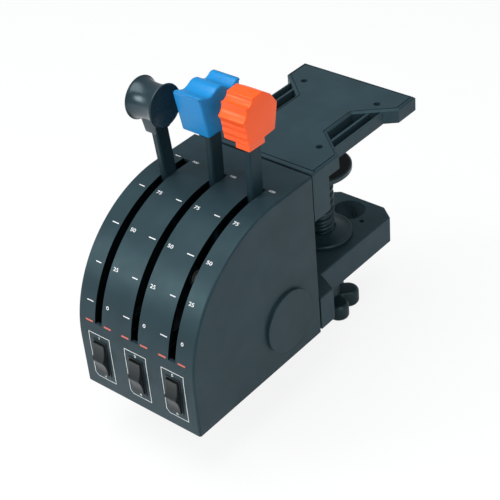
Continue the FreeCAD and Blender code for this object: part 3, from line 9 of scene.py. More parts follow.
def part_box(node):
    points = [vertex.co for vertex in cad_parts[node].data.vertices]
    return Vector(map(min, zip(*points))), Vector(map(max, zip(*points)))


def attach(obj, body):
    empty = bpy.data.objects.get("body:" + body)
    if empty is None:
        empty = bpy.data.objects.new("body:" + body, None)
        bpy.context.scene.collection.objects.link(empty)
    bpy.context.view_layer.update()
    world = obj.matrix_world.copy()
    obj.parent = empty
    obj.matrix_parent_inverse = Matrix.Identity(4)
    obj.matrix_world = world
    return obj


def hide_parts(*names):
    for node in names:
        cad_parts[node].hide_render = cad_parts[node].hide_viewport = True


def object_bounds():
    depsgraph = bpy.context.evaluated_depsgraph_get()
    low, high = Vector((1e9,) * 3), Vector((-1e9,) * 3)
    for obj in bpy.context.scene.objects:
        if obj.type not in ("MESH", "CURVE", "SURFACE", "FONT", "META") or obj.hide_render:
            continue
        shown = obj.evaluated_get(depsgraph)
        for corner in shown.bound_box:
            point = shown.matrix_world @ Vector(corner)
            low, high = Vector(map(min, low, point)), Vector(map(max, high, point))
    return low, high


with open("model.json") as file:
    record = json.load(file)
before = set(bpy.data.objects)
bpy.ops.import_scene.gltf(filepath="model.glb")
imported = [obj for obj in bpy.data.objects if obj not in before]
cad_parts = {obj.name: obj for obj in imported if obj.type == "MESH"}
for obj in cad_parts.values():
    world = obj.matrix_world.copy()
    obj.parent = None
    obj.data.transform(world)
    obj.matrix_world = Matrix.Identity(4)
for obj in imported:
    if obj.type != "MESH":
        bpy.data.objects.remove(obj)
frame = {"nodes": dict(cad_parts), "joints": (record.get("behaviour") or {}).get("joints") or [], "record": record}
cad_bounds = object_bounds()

# Looks of the desk-clamped throttle quadrant, in metres.  X is right, Y away from the user, Z up.

MM = 0.001

# ---------------------------------------------------------------- places taken from the frame
JOINTS = {joint["name"]: joint for joint in frame["joints"]}
RATIOS = {row["joint"]: row["ratio"] for row in frame["record"]["behaviour"]["couplings"]}
PIVOTS = [Vector(JOINTS["lever_%d_swing" % number]["pos_m"]) for number in (1, 2, 3)]
ROCKERS = [Vector(JOINTS["rocker_%d_tilt" % number]["pos_m"]) for number in (1, 2, 3)]
SHELL_LOW, SHELL_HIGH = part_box("main_shell")
ARC_RADIUS = SHELL_HIGH.z - PIVOTS[0].z
PANEL_HEIGHT = PIVOTS[0].z - SHELL_LOW.z
LEVER_PITCH = PIVOTS[1].x - PIVOTS[0].x
PULLS = [JOINTS["knob_%d_pull" % number]["axis"] for number in (1, 2, 3)]
LEVER_ANGLES = [round(math.degrees(math.atan2(pull[2], pull[1])), 1) for pull in PULLS]   # at rest, from +Y

# ---------------------------------------------------------------- printed scale and frames
PRINT_LIFT = 0.05 * MM
PRINT_THICK = 0.04 * MM
PRINT_STEP = 2.0 * MM           # longest edge of a print laid on the arc
PRINT_SPLITS = 5                # rounds of subdivision that bring a print to that step
TICK_X = -8.6 * MM
TICK_LONG = 6.0 * MM
TICK_SHORT = 4.9 * MM
TICK_THICK = 0.7 * MM
NUMBER_X = 8.0 * MM
NUMBER_HEIGHT = 2.7 * MM
NUMBER_STRETCH = 1.3
FULL_NUMBER_HEIGHT = 2.1 * MM
FIGURE_SHARE = 0.72             # height of a figure as a share of the font's size
FIGURE_WEIGHT = 0.02            # how far figures are thickened, as the same share
LEVER_SCALE = ((0, 160.3), (25, 143.5), (50, 125.9), (75, 106.5))   # mark and its angle from +Y
FULL_BEHIND_PIVOT = 11.0 * MM   # the 100 mark lies on the flat top
IDLE_MARK_UP = 58.5 * MM        # red marks, along the skin from the bottom edge
IDLE_MARK_X = 8.8 * MM
IDLE_MARK_SIZE = (6.7 * MM, 1.3 * MM)
FRAME_HALF_WIDTH = 10.0 * MM
FRAME_LOW = 9.2 * MM
FRAME_HIGH = 49.1 * MM
FRAME_LINE = 0.5 * MM
FRAME_CORNER = 2.5 * MM
LABEL_HEIGHT = 2.4 * MM
LABEL_INSET = 2.7 * MM

# ---------------------------------------------------------------- knobs
# Outlines beside a lever are (across, along) points in millimetres: across is positive on the
# lever's far side, along is from the pivot.
SOCKET_HALF = (3.2 * MM, 6.3 * MM)     # room for the stalk, across the levers and along the swing
SOCKET_START = 100.0 * MM              # below every knob
SOCKET_END = 158.3 * MM
SPOOL_CENTRE = 155.7 * MM
SPOOL_MIDDLE = -0.9 * MM
SPOOL_HALF = 11.65 * MM
SPOOL_RADIUS = 15.6 * MM
SPOOL_WAIST = 12.9 * MM
SPOOL_RIM = 0.78 * MM           # end face to the widest place
SPOOL_DISH = 2.2 * MM
SPOOL_HOLLOW = 1.2              # power that flattens the middle of the waist
SPOOL_STEPS = 96                # round the spool
WAIST_STEPS = 24                # along the waist
COLLAR_SIDES = ((-9.2, 146.0), (-6.8, 133.4), (4.2, 133.4), (4.2, 146.0))      # (x, along)
COLLAR_HALF = 7.2 * MM
COLLAR_BEVEL = 1.1 * MM
BLUE_SIDES = (-11.9 * MM, 11.9 * MM)
BLUE_TOP = ((-23.3, 170.9), (-20.6, 171.3), (-17.2, 170.1), (-13.2, 169.0), (-9.2, 169.9),
            (-5.4, 171.9), (-2.2, 172.4), (1.0, 171.6), (4.8, 169.0), (8.6, 167.5), (11.8, 168.6),
            (14.6, 170.2), (18.0, 169.9))
BLUE_BASE = ((12.6, 139.7), (-16.9, 139.7))
ORANGE_SIDES = (-10.3 * MM, 11.8 * MM)
ORANGE_CROWN = ((7.8, 172.6), (-0.9, 177.9), (-10.6, 176.9))
ORANGE_SCALLOPS = ((-10.6, 176.9), (-12.4, 172.9), (-17.3, 172.2), (-17.3, 167.0), (-21.0, 163.2))
ORANGE_FRONT = ((-18.5, 158.8), (-18.3, 156.2), (-17.6, 153.6), (-17.7, 151.0), (-17.0, 148.2),
                (-16.6, 144.5))
ORANGE_REAR = ((0.3, 144.5), (10.4, 145.4), (13.9, 164.0), (7.8, 172.6))
ORANGE_COLLAR = ((-16.3, 140.3), (-0.4, 140.3), (-0.4, 147.0), (-16.3, 147.0))
ORANGE_COLLAR_INSET = 0.1 * MM
ORANGE_BEVEL = 1.7 * MM
ORANGE_CORNER = 24.0            # turn of an outline that counts as a corner, in degrees
KNOB_CORNER = 28.0
KNOB_BEVEL = 1.6 * MM
BEVEL_STEPS = 5
CLOSEST_POINTS = 0.05           # outline points nearer than this are one, in millimetres

# ---------------------------------------------------------------- clamp thread, nut and star knob
THREAD_PITCH = 2 * math.pi / RATIOS["screw_turn"]
THREAD_DEPTH = 2.3 * MM
THREAD_CREST = 0.26             # crest and each flank as shares of the pitch
THREAD_FLANK = 0.22
THREAD_STEPS = 72               # round the screw
THREAD_ROWS = 14                # along one pitch
NUT_BORE = 12.3 * MM
NUT_FLANGE = 25.6 * MM
NUT_SPIGOT = (13.0 * MM, 12.0 * MM)     # radius and depth in the arm's hole
NUT_STEPS = 120
NUT_EDGE = 0.8 * MM             # bevel under the flange
NUT_ROUND = 1.5 * MM            # round over the flange
NUT_RIM = 3.2 * MM              # width of the rim outside the cone
NUT_LIP = 0.6 * MM              # cone's end to the bore
NUT_ROUND_START = 0.36          # heights as shares of the flange's rise
NUT_CONE_START = 0.50
NUT_CONE_POWER = 1.4
STAR_LOBES = 6
STAR_REACH = 20.5 * MM          # to the middle of a lobe
STAR_LOBE = 8.2 * MM
STAR_WAIST = 17.0 * MM
STAR_ROUND = 3.4 * MM
STAR_HEIGHT = 14.5 * MM
STAR_TURN = -17.0               # direction of one lobe from +X
STAR_STEPS = 240
STAR_SMOOTH = 14                # plan points to each side that are averaged, a quarter step apart
STAR_ROUND_STEPS = 8
STAR_WAIST_BAND = 2.0 * MM      # radii this near the waist count as waist
STAR_WAIST_INSET = 1.25         # how much more the round takes there
STAR_BORE = 8.0 * MM
STAR_BORE_FLOOR = 4.0 * MM
BORE_STEPS = 48
HUB_RADIUS = 13.0 * MM
SMOOTH_ANGLE = 35.0             # edges sharper than this stay sharp, in degrees
STAR_SMOOTH_ANGLE = 40.0
WELD_GAP = 0.001 * MM

# ---------------------------------------------------------------- upper arm, carved from its own solid
ARM_HOLE_ROW = 31.9 * MM        # arm's front to the first row of desk holes
ARM_HOLE_SPACING = 71.0 * MM
ARM_WAIST = 26.0 * MM
ARM_WAIST_RUN = 20.2 * MM
ARM_SHOULDERS = (-1.0 * MM, 2.0 * MM)   # start of the slopes, from the two rows of holes
POCKET_DEPTH = 9.0 * MM
RAIL_OUTER = 43.3 * MM
RAIL_INNER = 41.7 * MM
RIB_OUTER = 36.0 * MM
RIB_INNER = 34.0 * MM
FRONT_GROOVE = 4.1 * MM
GROOVE_INSET = 2.5 * MM
GROOVE_WIDTH = 0.8 * MM
GROOVE_DEPTH = 0.9 * MM

# ---------------------------------------------------------------- looks of the materials
TINT_SCALE = 45.0               # noise scales, per metre: drift of a plastic's colour and gloss
GLOSS_SCALE = 70.0
METAL_TINT_SCALE = 60.0
METAL_GLOSS_SCALE = 160.0
METAL_GRAIN_SCALE = 3000.0
# Painted shade: faces of the lever slots' walls are coloured near black, in place of the shade that falls inside
# the slots.
SLOT_HALF = 3.4 * MM            # a little past the lever slot's walls
SLOT_PAINTED_SHADE = (0.001, 0.002, 0.0025)
SIDE_ON = 0.7                   # X part of the normal above which a face is a slot's wall
BLACK_GLOSS = {"Specular_IOR_Level": 0.26, "Specular_Tint": (0.55, 0.90, 1.0, 1.0)}

# ---------------------------------------------------------------- camera and light
# The camera is solved from the photograph's straight edges; angles are in degrees.
CAMERA_TARGET = Vector((0.042864, -0.130228, -0.018008))
CAMERA_DISTANCE = 0.917018
CAMERA_AZIMUTH = 42.527
CAMERA_ELEVATION = 35.627
CAMERA_ROLL = -5.422
CAMERA_LENS = 97.39
SENSOR_WIDTH = 36.0
FLOOR_SIZE = 12.0
FLOOR_GREY = 0.90               # colour of the floor where it is lit
FLOOR_WHITE_SHARE = 0.86        # how much of the floor that is seen is plain white
WORLD_LIGHT = 0.38              # strength of the world as a light
WORLD_COLOUR = (0.86, 0.93, 1.0)
SOFTBOXES = (                   # name, azimuth, elevation, distance, size and power in watts
    ("overhead", -20, 74, 1.3, (1.3, 1.0), 16.5),
    ("right_side", 70, 30, 1.5, (0.8, 0.8), 4.0),
    ("front_left", -37, 24, 1.5, (0.5, 0.5), 8.0),
)


# ================================================================ materials
def shader(name, base, roughness, **sockets):
    """New material with a Principled shader, its fixed values on its own sockets."""
    material = bpy.data.materials.new(name)
    material.use_nodes = True
    node = material.node_tree.nodes["Principled BSDF"]
    node.inputs["Base Color"].default_value = (*base, 1.0)
    node.inputs["Roughness"].default_value = roughness
    for socket, value in sockets.items():
        node.inputs[socket.replace("_", " ")].default_value = value
    return material, node


def noise(material, scale, detail=3.0, rough=0.5, stretch=(1, 1, 1)):
    """Noise over the object's own coordinates; the scale is per metre."""
    nodes, links = material.node_tree.nodes, material.node_tree.links
    place = nodes.new("ShaderNodeTexCoord")
    squeeze = nodes.new("ShaderNodeMapping")
    squeeze.inputs["Scale"].default_value = stretch
    texture = nodes.new("ShaderNodeTexNoise")
    texture.inputs["Scale"].default_value = scale
    texture.inputs["Detail"].default_value = detail
    texture.inputs["Roughness"].default_value = rough
    links.new(place.outputs["Object"], squeeze.inputs["Vector"])
    links.new(squeeze.outputs["Vector"], texture.inputs["Vector"])
    return texture.outputs["Fac"]


def mapped(material, value, low, high, start=0.3, end=0.7):
    """Spread a 0 to 1 value over a new range."""
    node = material.node_tree.nodes.new("ShaderNodeMapRange")
    node.inputs["From Min"].default_value = start
    node.inputs["From Max"].default_value = end
    node.inputs["To Min"].default_value = low
    node.inputs["To Max"].default_value = high
    material.node_tree.links.new(value, node.inputs["Value"])
    return node.outputs["Result"]


def tinted(material, node, base, spread, scale):
    """Let the base colour drift a little over the surface."""
    mix = material.node_tree.nodes.new("ShaderNodeMix")
    mix.data_type = "RGBA"
    mix.inputs["A"].default_value = (*[channel * (1 - spread) for channel in base], 1.0)
    mix.inputs["B"].default_value = (*[channel * (1 + spread) for channel in base], 1.0)
    links = material.node_tree.links
    links.new(mapped(material, noise(material, scale, 2.0), 0.0, 1.0), mix.inputs["Factor"])
    links.new(mix.outputs["Result"], node.inputs["Base Color"])


def grained(material, node, scale, height, detail=2.0, edge=0.0, stretch=(1, 1, 1)):
    """Raise a fine grain, over edges softened by a radius when one is given."""
    nodes, links = material.node_tree.nodes, material.node_tree.links
    bump = nodes.new("ShaderNodeBump")
    bump.inputs["Strength"].default_value = 1.0
    bump.inputs["Distance"].default_value = height
    links.new(noise(material, scale, detail, 0.6, stretch), bump.inputs["Height"])
    if edge:
        soft = nodes.new("ShaderNodeBevel")
        soft.samples = 4
        soft.inputs["Radius"].default_value = edge
        links.new(soft.outputs["Normal"], bump.inputs["Normal"])
    links.new(bump.outputs["Normal"], node.inputs["Normal"])


def plastic(name, base, roughness, grain=0.02 * MM, grain_scale=2600.0, spread=0.12,
            edge=0.25 * MM, **sockets):
    """Moulded plastic: drifting colour and gloss, and a fine grain from the tool's skin."""
    material, node = shader(name, base, roughness, **sockets)
    tinted(material, node, base, spread, TINT_SCALE)
    patches = noise(material, GLOSS_SCALE, 4.0)
    material.node_tree.links.new(mapped(material, patches, roughness - 0.04, roughness + 0.05),
                                 node.inputs["Roughness"])
    grained(material, node, grain_scale, grain, edge=edge)
    return material


def metal(name, base, roughness, stretch=(1, 1, 1), **sockets):
    """Turned or plated metal with fine tool marks."""
    material, node = shader(name, base, roughness, Metallic=1.0, **sockets)
    tinted(material, node, base, 0.08, METAL_TINT_SCALE)
    patches = noise(material, METAL_GLOSS_SCALE, 3.0, stretch=stretch)
    material.node_tree.links.new(mapped(material, patches, roughness - 0.06, roughness + 0.08),
                                 node.inputs["Roughness"])
    grained(material, node, METAL_GRAIN_SCALE, 0.004 * MM, edge=0.15 * MM, stretch=stretch)
    return material


def shell(name, base, roughness, **sockets):
    """Housing plastic with painted shade: its colour turns near black on the walls of the lever slots, where no
    light reaches.
    """
    material = plastic(name, base, roughness, **sockets)
    nodes, links = material.node_tree.nodes, material.node_tree.links
    node = nodes["Principled BSDF"]

    def x_part(vector):
        parts = nodes.new("ShaderNodeSeparateXYZ")
        links.new(vector, parts.inputs["Vector"])
        return parts.outputs["X"]

    def worked(operation, value, *numbers):
        made = nodes.new("ShaderNodeMath")
        made.operation = operation
        links.new(value, made.inputs[0])
        for place, number in enumerate(numbers, 1):
            made.inputs[place].default_value = number
        return made.outputs["Value"]

    geometry = nodes.new("ShaderNodeNewGeometry")
    from_lever = worked("WRAP", x_part(geometry.outputs["Position"]), LEVER_PITCH / 2, -LEVER_PITCH / 2)
    near = worked("LESS_THAN", worked("ABSOLUTE", from_lever), SLOT_HALF)
    facing = worked("ABSOLUTE", x_part(geometry.outputs["True Normal"]))
    both = nodes.new("ShaderNodeMath")
    both.operation = "MULTIPLY"
    links.new(near, both.inputs[0])
    links.new(worked("GREATER_THAN", facing, SIDE_ON), both.inputs[1])
    # painted shade: the colour of the slot walls is swapped for near black
    mix = nodes.new("ShaderNodeMix")
    mix.data_type = "RGBA"
    mix.inputs["B"].default_value = (*SLOT_PAINTED_SHADE, 1.0)
    links.new(both.outputs["Value"], mix.inputs["Factor"])
    links.new(node.inputs["Base Color"].links[0].from_socket, mix.inputs["A"])
    links.new(mix.outputs["Result"], node.inputs["Base Color"])
    return material


def felt():
    """Dense grey felt."""
    base = (0.30, 0.29, 0.27)
    material, node = shader("felt", base, 0.95, Sheen_Weight=0.4)
    tinted(material, node, base, 0.3, 400.0)
    grained(material, node, 1800.0, 0.12 * MM, detail=5.0)
    return material


def board():
    """Solder mask with copper tracks showing through as bands."""
    base = (0.012, 0.085, 0.035)
    material, node = shader("board_green", base, 0.35, Coat_Weight=0.3)
    nodes, links = material.node_tree.nodes, material.node_tree.links
    place = nodes.new("ShaderNodeTexCoord")
    bands = nodes.new("ShaderNodeTexBrick")
    bands.inputs["Scale"].default_value = 160.0
    bands.inputs["Mortar Size"].default_value = 0.03
    bands.inputs["Color1"].default_value = (*base, 1.0)
    bands.inputs["Color2"].default_value = (0.010, 0.075, 0.030, 1.0)
    bands.inputs["Mortar"].default_value = (0.03, 0.16, 0.07, 1.0)
    links.new(place.outputs["Object"], bands.inputs["Vector"])
    links.new(bands.outputs["Color"], node.inputs["Base Color"])
    grained(material, node, 900.0, 0.01 * MM)
    return material


def print_ink(name, base):
    """Pad-printed ink, slightly worn."""
    material, node = shader(name, base, 0.55)
    tinted(material, node, base, 0.06, 900.0)
    grained(material, node, 5000.0, 0.003 * MM)
    return material


MATERIALS = {
    "housing_black": shell("housing_black", (0.017, 0.033, 0.040), 0.40, grain=0.03 * MM, **BLACK_GLOSS),
    "lever_black": plastic("lever_black", (0.010, 0.024, 0.031), 0.40, grain=0.02 * MM, **BLACK_GLOSS),
    "spool_black": plastic("spool_black", (0.012, 0.026, 0.034), 0.27, grain=0.006 * MM,
                           Specular_Tint=(0.75, 0.93, 1.0, 1.0)),
    "knob_blue": plastic("knob_blue", (0.004, 0.215, 0.520), 0.36, grain=0.012 * MM, spread=0.05,
                         Specular_IOR_Level=0.30),
    "knob_orange": plastic("knob_orange", (0.980, 0.100, 0.012), 0.34, grain=0.012 * MM, spread=0.03,
                           Specular_IOR_Level=0.40, Specular_Tint=(1.0, 0.82, 0.65, 1.0)),
    "rocker_black": plastic("rocker_black", (0.010, 0.015, 0.016), 0.33, grain=0.004 * MM,
                            Specular_IOR_Level=0.30),
    "switch_case": plastic("switch_case", (0.010, 0.013, 0.015), 0.40),
    "bracket_black": plastic("bracket_black", (0.023, 0.043, 0.052), 0.46, grain=0.03 * MM, **BLACK_GLOSS),
    "inner_frame": plastic("inner_frame", (0.030, 0.032, 0.034), 0.50),
    "gear_white": plastic("gear_white", (0.70, 0.69, 0.64), 0.38, spread=0.04),
    "shaft_steel": metal("shaft_steel", (0.60, 0.60, 0.61), 0.28, stretch=(1, 8, 8)),
    "screw_steel": metal("screw_steel", (0.45, 0.45, 0.46), 0.34),
    "clamp_plastic": plastic("clamp_plastic", (0.010, 0.024, 0.029), 0.34, grain=0.015 * MM,
                             Specular_Tint=(0.7, 0.95, 1.0, 1.0)),
    "felt": felt(),
    "rubber_black": plastic("rubber_black", (0.012, 0.013, 0.014), 0.80, grain=0.08 * MM,
                            grain_scale=1500.0),
    "board_green": board(),
    "sensor_case": plastic("sensor_case", (0.020, 0.045, 0.10), 0.42),
}
WHITE_INK = print_ink("ink_white", (0.74, 0.76, 0.76))
RED_INK = print_ink("ink_red", (0.60, 0.13, 0.095))


def dress_nodes():
    """Give every CAD node the material of its slot in the record."""
    for row in frame["record"]["subparts"]:
        for holder in frame["nodes"][row["node"]].material_slots:
            holder.material = MATERIALS[row["material_slot"]]


# ================================================================ building helpers
def piece(name, mesh, material, body):
    """Put a mesh in the scene as a piece that rides on a CAD body."""
    made = bpy.data.objects.new(name, mesh)
    bpy.context.scene.collection.objects.link(made)
    mesh.materials.clear()
    mesh.materials.append(material)
    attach(made, body)
    return made


def replacement(name, mesh, slot, body, *nodes):
    """Piece that is shown in place of CAD nodes, in the finish of one of the record's slots."""
    made = piece(name, mesh, MATERIALS[slot], body)
    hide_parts(*nodes)


def solid_from(rings, name, closed_ends=True):
    """Mesh through rings of equal count, with flat ends."""
    made = bmesh.new()
    rows = [[made.verts.new(point) for point in ring] for ring in rings]
    for lower, upper in zip(rows, rows[1:]):
        for step in range(len(lower)):
            after = (step + 1) % len(lower)
            made.faces.new((lower[step], lower[after], upper[after], upper[step]))
    if closed_ends:
        made.faces.new(list(reversed(rows[0])))
        made.faces.new(rows[-1])
    bmesh.ops.recalc_face_normals(made, faces=made.faces)
    mesh = bpy.data.meshes.new(name)
    made.to_mesh(mesh)
    made.free()
    return mesh


def finished(mesh, *steps):
    """Apply modifiers to a mesh; each step gives a modifier's kind and its settings."""
    holder = bpy.data.objects.new("work", mesh)
    bpy.context.scene.collection.objects.link(holder)
    helpers = []
    for kind, settings in steps:
        modifier = holder.modifiers.new(kind.lower(), kind)
        for key, value in settings.items():
            if isinstance(value, bpy.types.Mesh):
                value = bpy.data.objects.new("helper", value)
                bpy.context.scene.collection.objects.link(value)
                helpers.append(value)
            setattr(modifier, key, value)
    bpy.context.view_layer.update()
    result = bpy.data.meshes.new_from_object(holder.evaluated_get(bpy.context.evaluated_depsgraph_get()))
    for spent in [holder] + helpers:
        bpy.data.objects.remove(spent)
    return result


def cut(mesh):
    """Modifier step that takes another mesh away."""
    return "BOOLEAN", {"operation": "DIFFERENCE", "solver": "EXACT", "object": mesh}


def add(mesh):
    """Modifier step that joins another mesh."""
    return "BOOLEAN", {"operation": "UNION", "solver": "EXACT", "object": mesh}


def soften(mesh, angle=SMOOTH_ANGLE):
    """Smooth shading, kept sharp over an angle."""
    for face in mesh.polygons:
        face.use_smooth = True
    mesh.set_sharp_from_angle(angle=math.radians(angle))
    return mesh


def upright(height, angle, radius):
    """Point round the clamp screw's axis."""
    return Vector((radius * math.cos(angle), radius * math.sin(angle), height))


def lathe(profile, steps, name, place=upright, hollow=False):
    """Solid turned from a (height, radius) profile, which closes on itself when it is hollow.

    place gives the point of a height, an angle in radians and a radius.
    """
    rings = [[place(height, 2 * math.pi * step / steps, radius) for step in range(steps)]
             for height, radius in profile]
    if not hollow:
        return solid_from(rings, name)
    return welded(solid_from(rings + rings[:1], name, closed_ends=False))


def welded(mesh):
    """Join the first and the last ring of a mesh that closes on itself."""
    return finished(mesh, ("WELD", {"merge_threshold": WELD_GAP}))


def on_skin(x, along, lift=0.0):
    """Point on the housing's front skin: along runs up the panel, round the arc and over the top."""
    pivot = PIVOTS[0]
    quarter = ARC_RADIUS * math.pi / 2
    if along < PANEL_HEIGHT:
        return Vector((x, SHELL_LOW.y - lift, SHELL_LOW.z + along))
    if along < PANEL_HEIGHT + quarter:
        angle = math.pi - (along - PANEL_HEIGHT) / ARC_RADIUS
        reach = ARC_RADIUS + lift
        return Vector((x, pivot.y + reach * math.cos(angle), pivot.z + reach * math.sin(angle)))
    return Vector((x, pivot.y + along - PANEL_HEIGHT - quarter, SHELL_HIGH.z + lift))


def up_the_skin(angle):
    """Distance along the skin for a lever angle in degrees."""
    return PANEL_HEIGHT + ARC_RADIUS * math.radians(180.0 - angle)


def printed(name, flat, material):
    """Lay a flat bmesh, drawn in (x, along), on the skin as a thin printed piece."""
    for _ in range(PRINT_SPLITS):
        long_edges = [edge for edge in flat.edges if edge.calc_length() > PRINT_STEP]
        bmesh.ops.subdivide_edges(flat, edges=long_edges, cuts=1, use_grid_fill=True)
    for vertex in flat.verts:
        vertex.co = on_skin(vertex.co.x, vertex.co.y, PRINT_LIFT)
    mesh = bpy.data.meshes.new(name)
    flat.to_mesh(mesh)
    flat.free()
    thick = piece(name, mesh, material, "quadrant").modifiers.new("thick", "SOLIDIFY")
    thick.thickness = PRINT_THICK
    thick.offset = 1.0


def add_bar(flat, x, along, width, height):
    """Rectangle in (x, along), given by its middle and size."""
    corners = [flat.verts.new((x + width / 2 * i, along + height / 2 * j, 0.0))
               for i, j in ((-1, -1), (1, -1), (1, 1), (-1, 1))]
    flat.faces.new(corners)


def add_loop(flat, corners, line):
    """Closed line of even width through (x, along) corners, mitred."""
    inner, outer = [], []
    count = len(corners)
    for index in range(count):
        here = Vector(corners[index])
        before = (here - Vector(corners[index - 1])).normalized()
        after = (Vector(corners[(index + 1) % count]) - here).normalized()
        across = Vector((-before.y - after.y, before.x + after.x)).normalized()
        reach = line / 2 / across.dot(Vector((-before.y, before.x)))
        inner.append(flat.verts.new((*(here + across * reach), 0.0)))
        outer.append(flat.verts.new((*(here - across * reach), 0.0)))
    for index in range(count):
        after = (index + 1) % count
        flat.faces.new((outer[index], outer[after], inner[after], inner[index]))


def add_number(flat, number, x, along, height, stretch=1.0):
    """Figures centred at (x, along), drawn heavy and wide."""
    curve = bpy.data.curves.new("figures", "FONT")
    curve.body = str(number)
    curve.size = height / FIGURE_SHARE
    curve.align_x = "CENTER"
    curve.align_y = "CENTER"
    curve.offset = FIGURE_WEIGHT * curve.size
    holder = bpy.data.objects.new("figures", curve)
    bpy.context.scene.collection.objects.link(holder)
    bpy.context.view_layer.update()
    mesh = bpy.data.meshes.new_from_object(holder.evaluated_get(bpy.context.evaluated_depsgraph_get()))
    middle = (min(v.co.y for v in mesh.vertices) + max(v.co.y for v in mesh.vertices)) / 2
    mesh.transform(Matrix.Translation((x, along, 0)) @ Matrix.Diagonal((stretch, 1, 1, 1)) @
                   Matrix.Translation((0, -middle, 0)))
    flat.from_mesh(mesh)
    bpy.data.objects.remove(holder)
    bpy.data.curves.remove(curve)
    bpy.data.meshes.remove(mesh)


# ================================================================ printed pieces
def lever_scale(number):
    """Ticks and figures beside one lever's slot."""
    flat = bmesh.new()
    x = PIVOTS[number - 1].x
    for mark, angle in LEVER_SCALE:
        along = up_the_skin(angle)
        add_bar(flat, x + TICK_X, along, TICK_LONG if mark % 50 == 0 else TICK_SHORT, TICK_THICK)
        add_number(flat, mark, x + NUMBER_X, along, NUMBER_HEIGHT, NUMBER_STRETCH)
    full = up_the_skin(90.0) + FULL_BEHIND_PIVOT
    add_bar(flat, x + TICK_X, full, TICK_SHORT, TICK_THICK)
    add_number(flat, 100, x + NUMBER_X, full, FULL_NUMBER_HEIGHT, NUMBER_STRETCH)
    printed("scale_print_%d" % number, flat, WHITE_INK)


def idle_marks(number):
    """Red marks on both sides of one slot, where the lever's idle stop is."""
    flat = bmesh.new()
    for side in (-1, 1):
        add_bar(flat, PIVOTS[number - 1].x + side * IDLE_MARK_X, IDLE_MARK_UP, *IDLE_MARK_SIZE)
    printed("idle_marks_%d" % number, flat, RED_INK)


def switch_frame(number):
    """White line round one rocker, with its two numbers."""
    flat = bmesh.new()
    x = ROCKERS[number - 1].x
    left, right = x - FRAME_HALF_WIDTH, x + FRAME_HALF_WIDTH
    add_loop(flat, [(left + FRAME_CORNER, FRAME_LOW), (right, FRAME_LOW), (right, FRAME_HIGH),
                    (left, FRAME_HIGH), (left, FRAME_LOW + FRAME_CORNER)], FRAME_LINE)
    add_number(flat, 2 * number - 1, x, FRAME_HIGH - LABEL_INSET, LABEL_HEIGHT, NUMBER_STRETCH)
    add_number(flat, 2 * number, x, FRAME_LOW + LABEL_INSET, LABEL_HEIGHT, NUMBER_STRETCH)
    printed("switch_print_%d" % number, flat, WHITE_INK)


# ================================================================ knobs
def beside_lever(index, x, across, along):
    """Point beside a lever at rest; across is positive on its far side."""
    angle = math.radians(LEVER_ANGLES[index])
    pivot = PIVOTS[index]
    return Vector((pivot.x + x, pivot.y + along * math.cos(angle) + across * math.sin(angle),
                   pivot.z + along * math.sin(angle) - across * math.cos(angle)))


def curve_through(points, steps=6):
    """Smooth run through (across, along) points."""
    padded = [points[0]] + list(points) + [points[-1]]
    run = []
    for before, start, end, after in zip(padded, padded[1:], padded[2:], padded[3:]):
        for step in range(steps):
            t = step / steps
            run.append(tuple(0.5 * (2 * b + (c - a) * t + (2 * a - 5 * b + 4 * c - d) * t * t +
                                    (3 * b - a - 3 * c + d) * t ** 3)
                             for a, b, c, d in zip(before, start, end, after)))
    return run + [points[-1]]


def arc_through(a, b, c, steps=8):
    """Arc through three (across, along) points."""
    (ax, ay), (bx, by), (cx, cy) = a, b, c
    d = 2 * (ax * (by - cy) + bx * (cy - ay) + cx * (ay - by))
    aa, bb, cc = ax ** 2 + ay ** 2, bx ** 2 + by ** 2, cx ** 2 + cy ** 2
    ux = (aa * (by - cy) + bb * (cy - ay) + cc * (ay - by)) / d
    uy = (aa * (cx - bx) + bb * (ax - cx) + cc * (bx - ax)) / d
    radius = math.hypot(ax - ux, ay - uy)
    start = math.atan2(ay - uy, ax - ux)
    sweep = (math.atan2(cy - uy, cx - ux) - start + math.pi) % (2 * math.pi) - math.pi
    return [(ux + radius * math.cos(start + sweep * step / steps),
             uy + radius * math.sin(start + sweep * step / steps)) for step in range(steps + 1)]


def weigh_edges(mesh, weight):
    """Give each edge the share of a bevel that weight(edge) works out."""
    weights = mesh.attributes.new("bevel_weight_edge", "FLOAT", "EDGE")
    for edge in mesh.edges:
        weights.data[edge.index].value = weight(edge)


def slab(index, outline, sides, rounds, corner=KNOB_CORNER):
    """Prism across a lever from an (across, along) outline in millimetres.

    rounds gives the share of the bevel on the left rim, the right rim and the outline's corners.
    """
    kept = [here for here, after in zip(outline, outline[1:] + outline[:1])
            if math.dist(here, after) > CLOSEST_POINTS]
    count = len(kept)
    rings = [[beside_lever(index, x, across * MM, along * MM) for across, along in kept] for x in sides]
    mesh = solid_from(rings, "slab")
    turns = []
    for step in range(count):
        before = Vector(kept[step]) - Vector(kept[step - 1])
        after = Vector(kept[(step + 1) % count]) - Vector(kept[step])
        turns.append(math.degrees(before.angle(after)))

    def weight(edge):
        first, second = sorted(edge.vertices)
        if second - first == count and first < count:
            return rounds[2] if turns[first] > corner else 0.0
        return rounds[0] if first < count and second < count else rounds[1]
    weigh_edges(mesh, weight)
    return mesh


def bevel(width=KNOB_BEVEL):
    """Modifier step that rounds the weighted edges."""
    return "BEVEL", {"limit_method": "WEIGHT", "width": width, "segments": BEVEL_STEPS, "profile": 0.5,
                     "use_clamp_overlap": False, "miter_outer": "MITER_SHARP"}


def socket(index):
    """Room for the stalk, open towards the pivot."""
    half_x, half_across = SOCKET_HALF
    outline = [(side * half_across / MM, along / MM) for side, along in
               ((-1, SOCKET_START), (1, SOCKET_START), (1, SOCKET_END), (-1, SOCKET_END))]
    return slab(index, outline, (-half_x, half_x), (0, 0, 0))


def knob(index, name, mesh, node, slot):
    """Show a finished mesh as a lever's knob, with its socket, in place of its solid."""
    mesh = soften(finished(mesh, cut(socket(index))))
    replacement(name, mesh, slot, "knob_%d" % (index + 1), node)


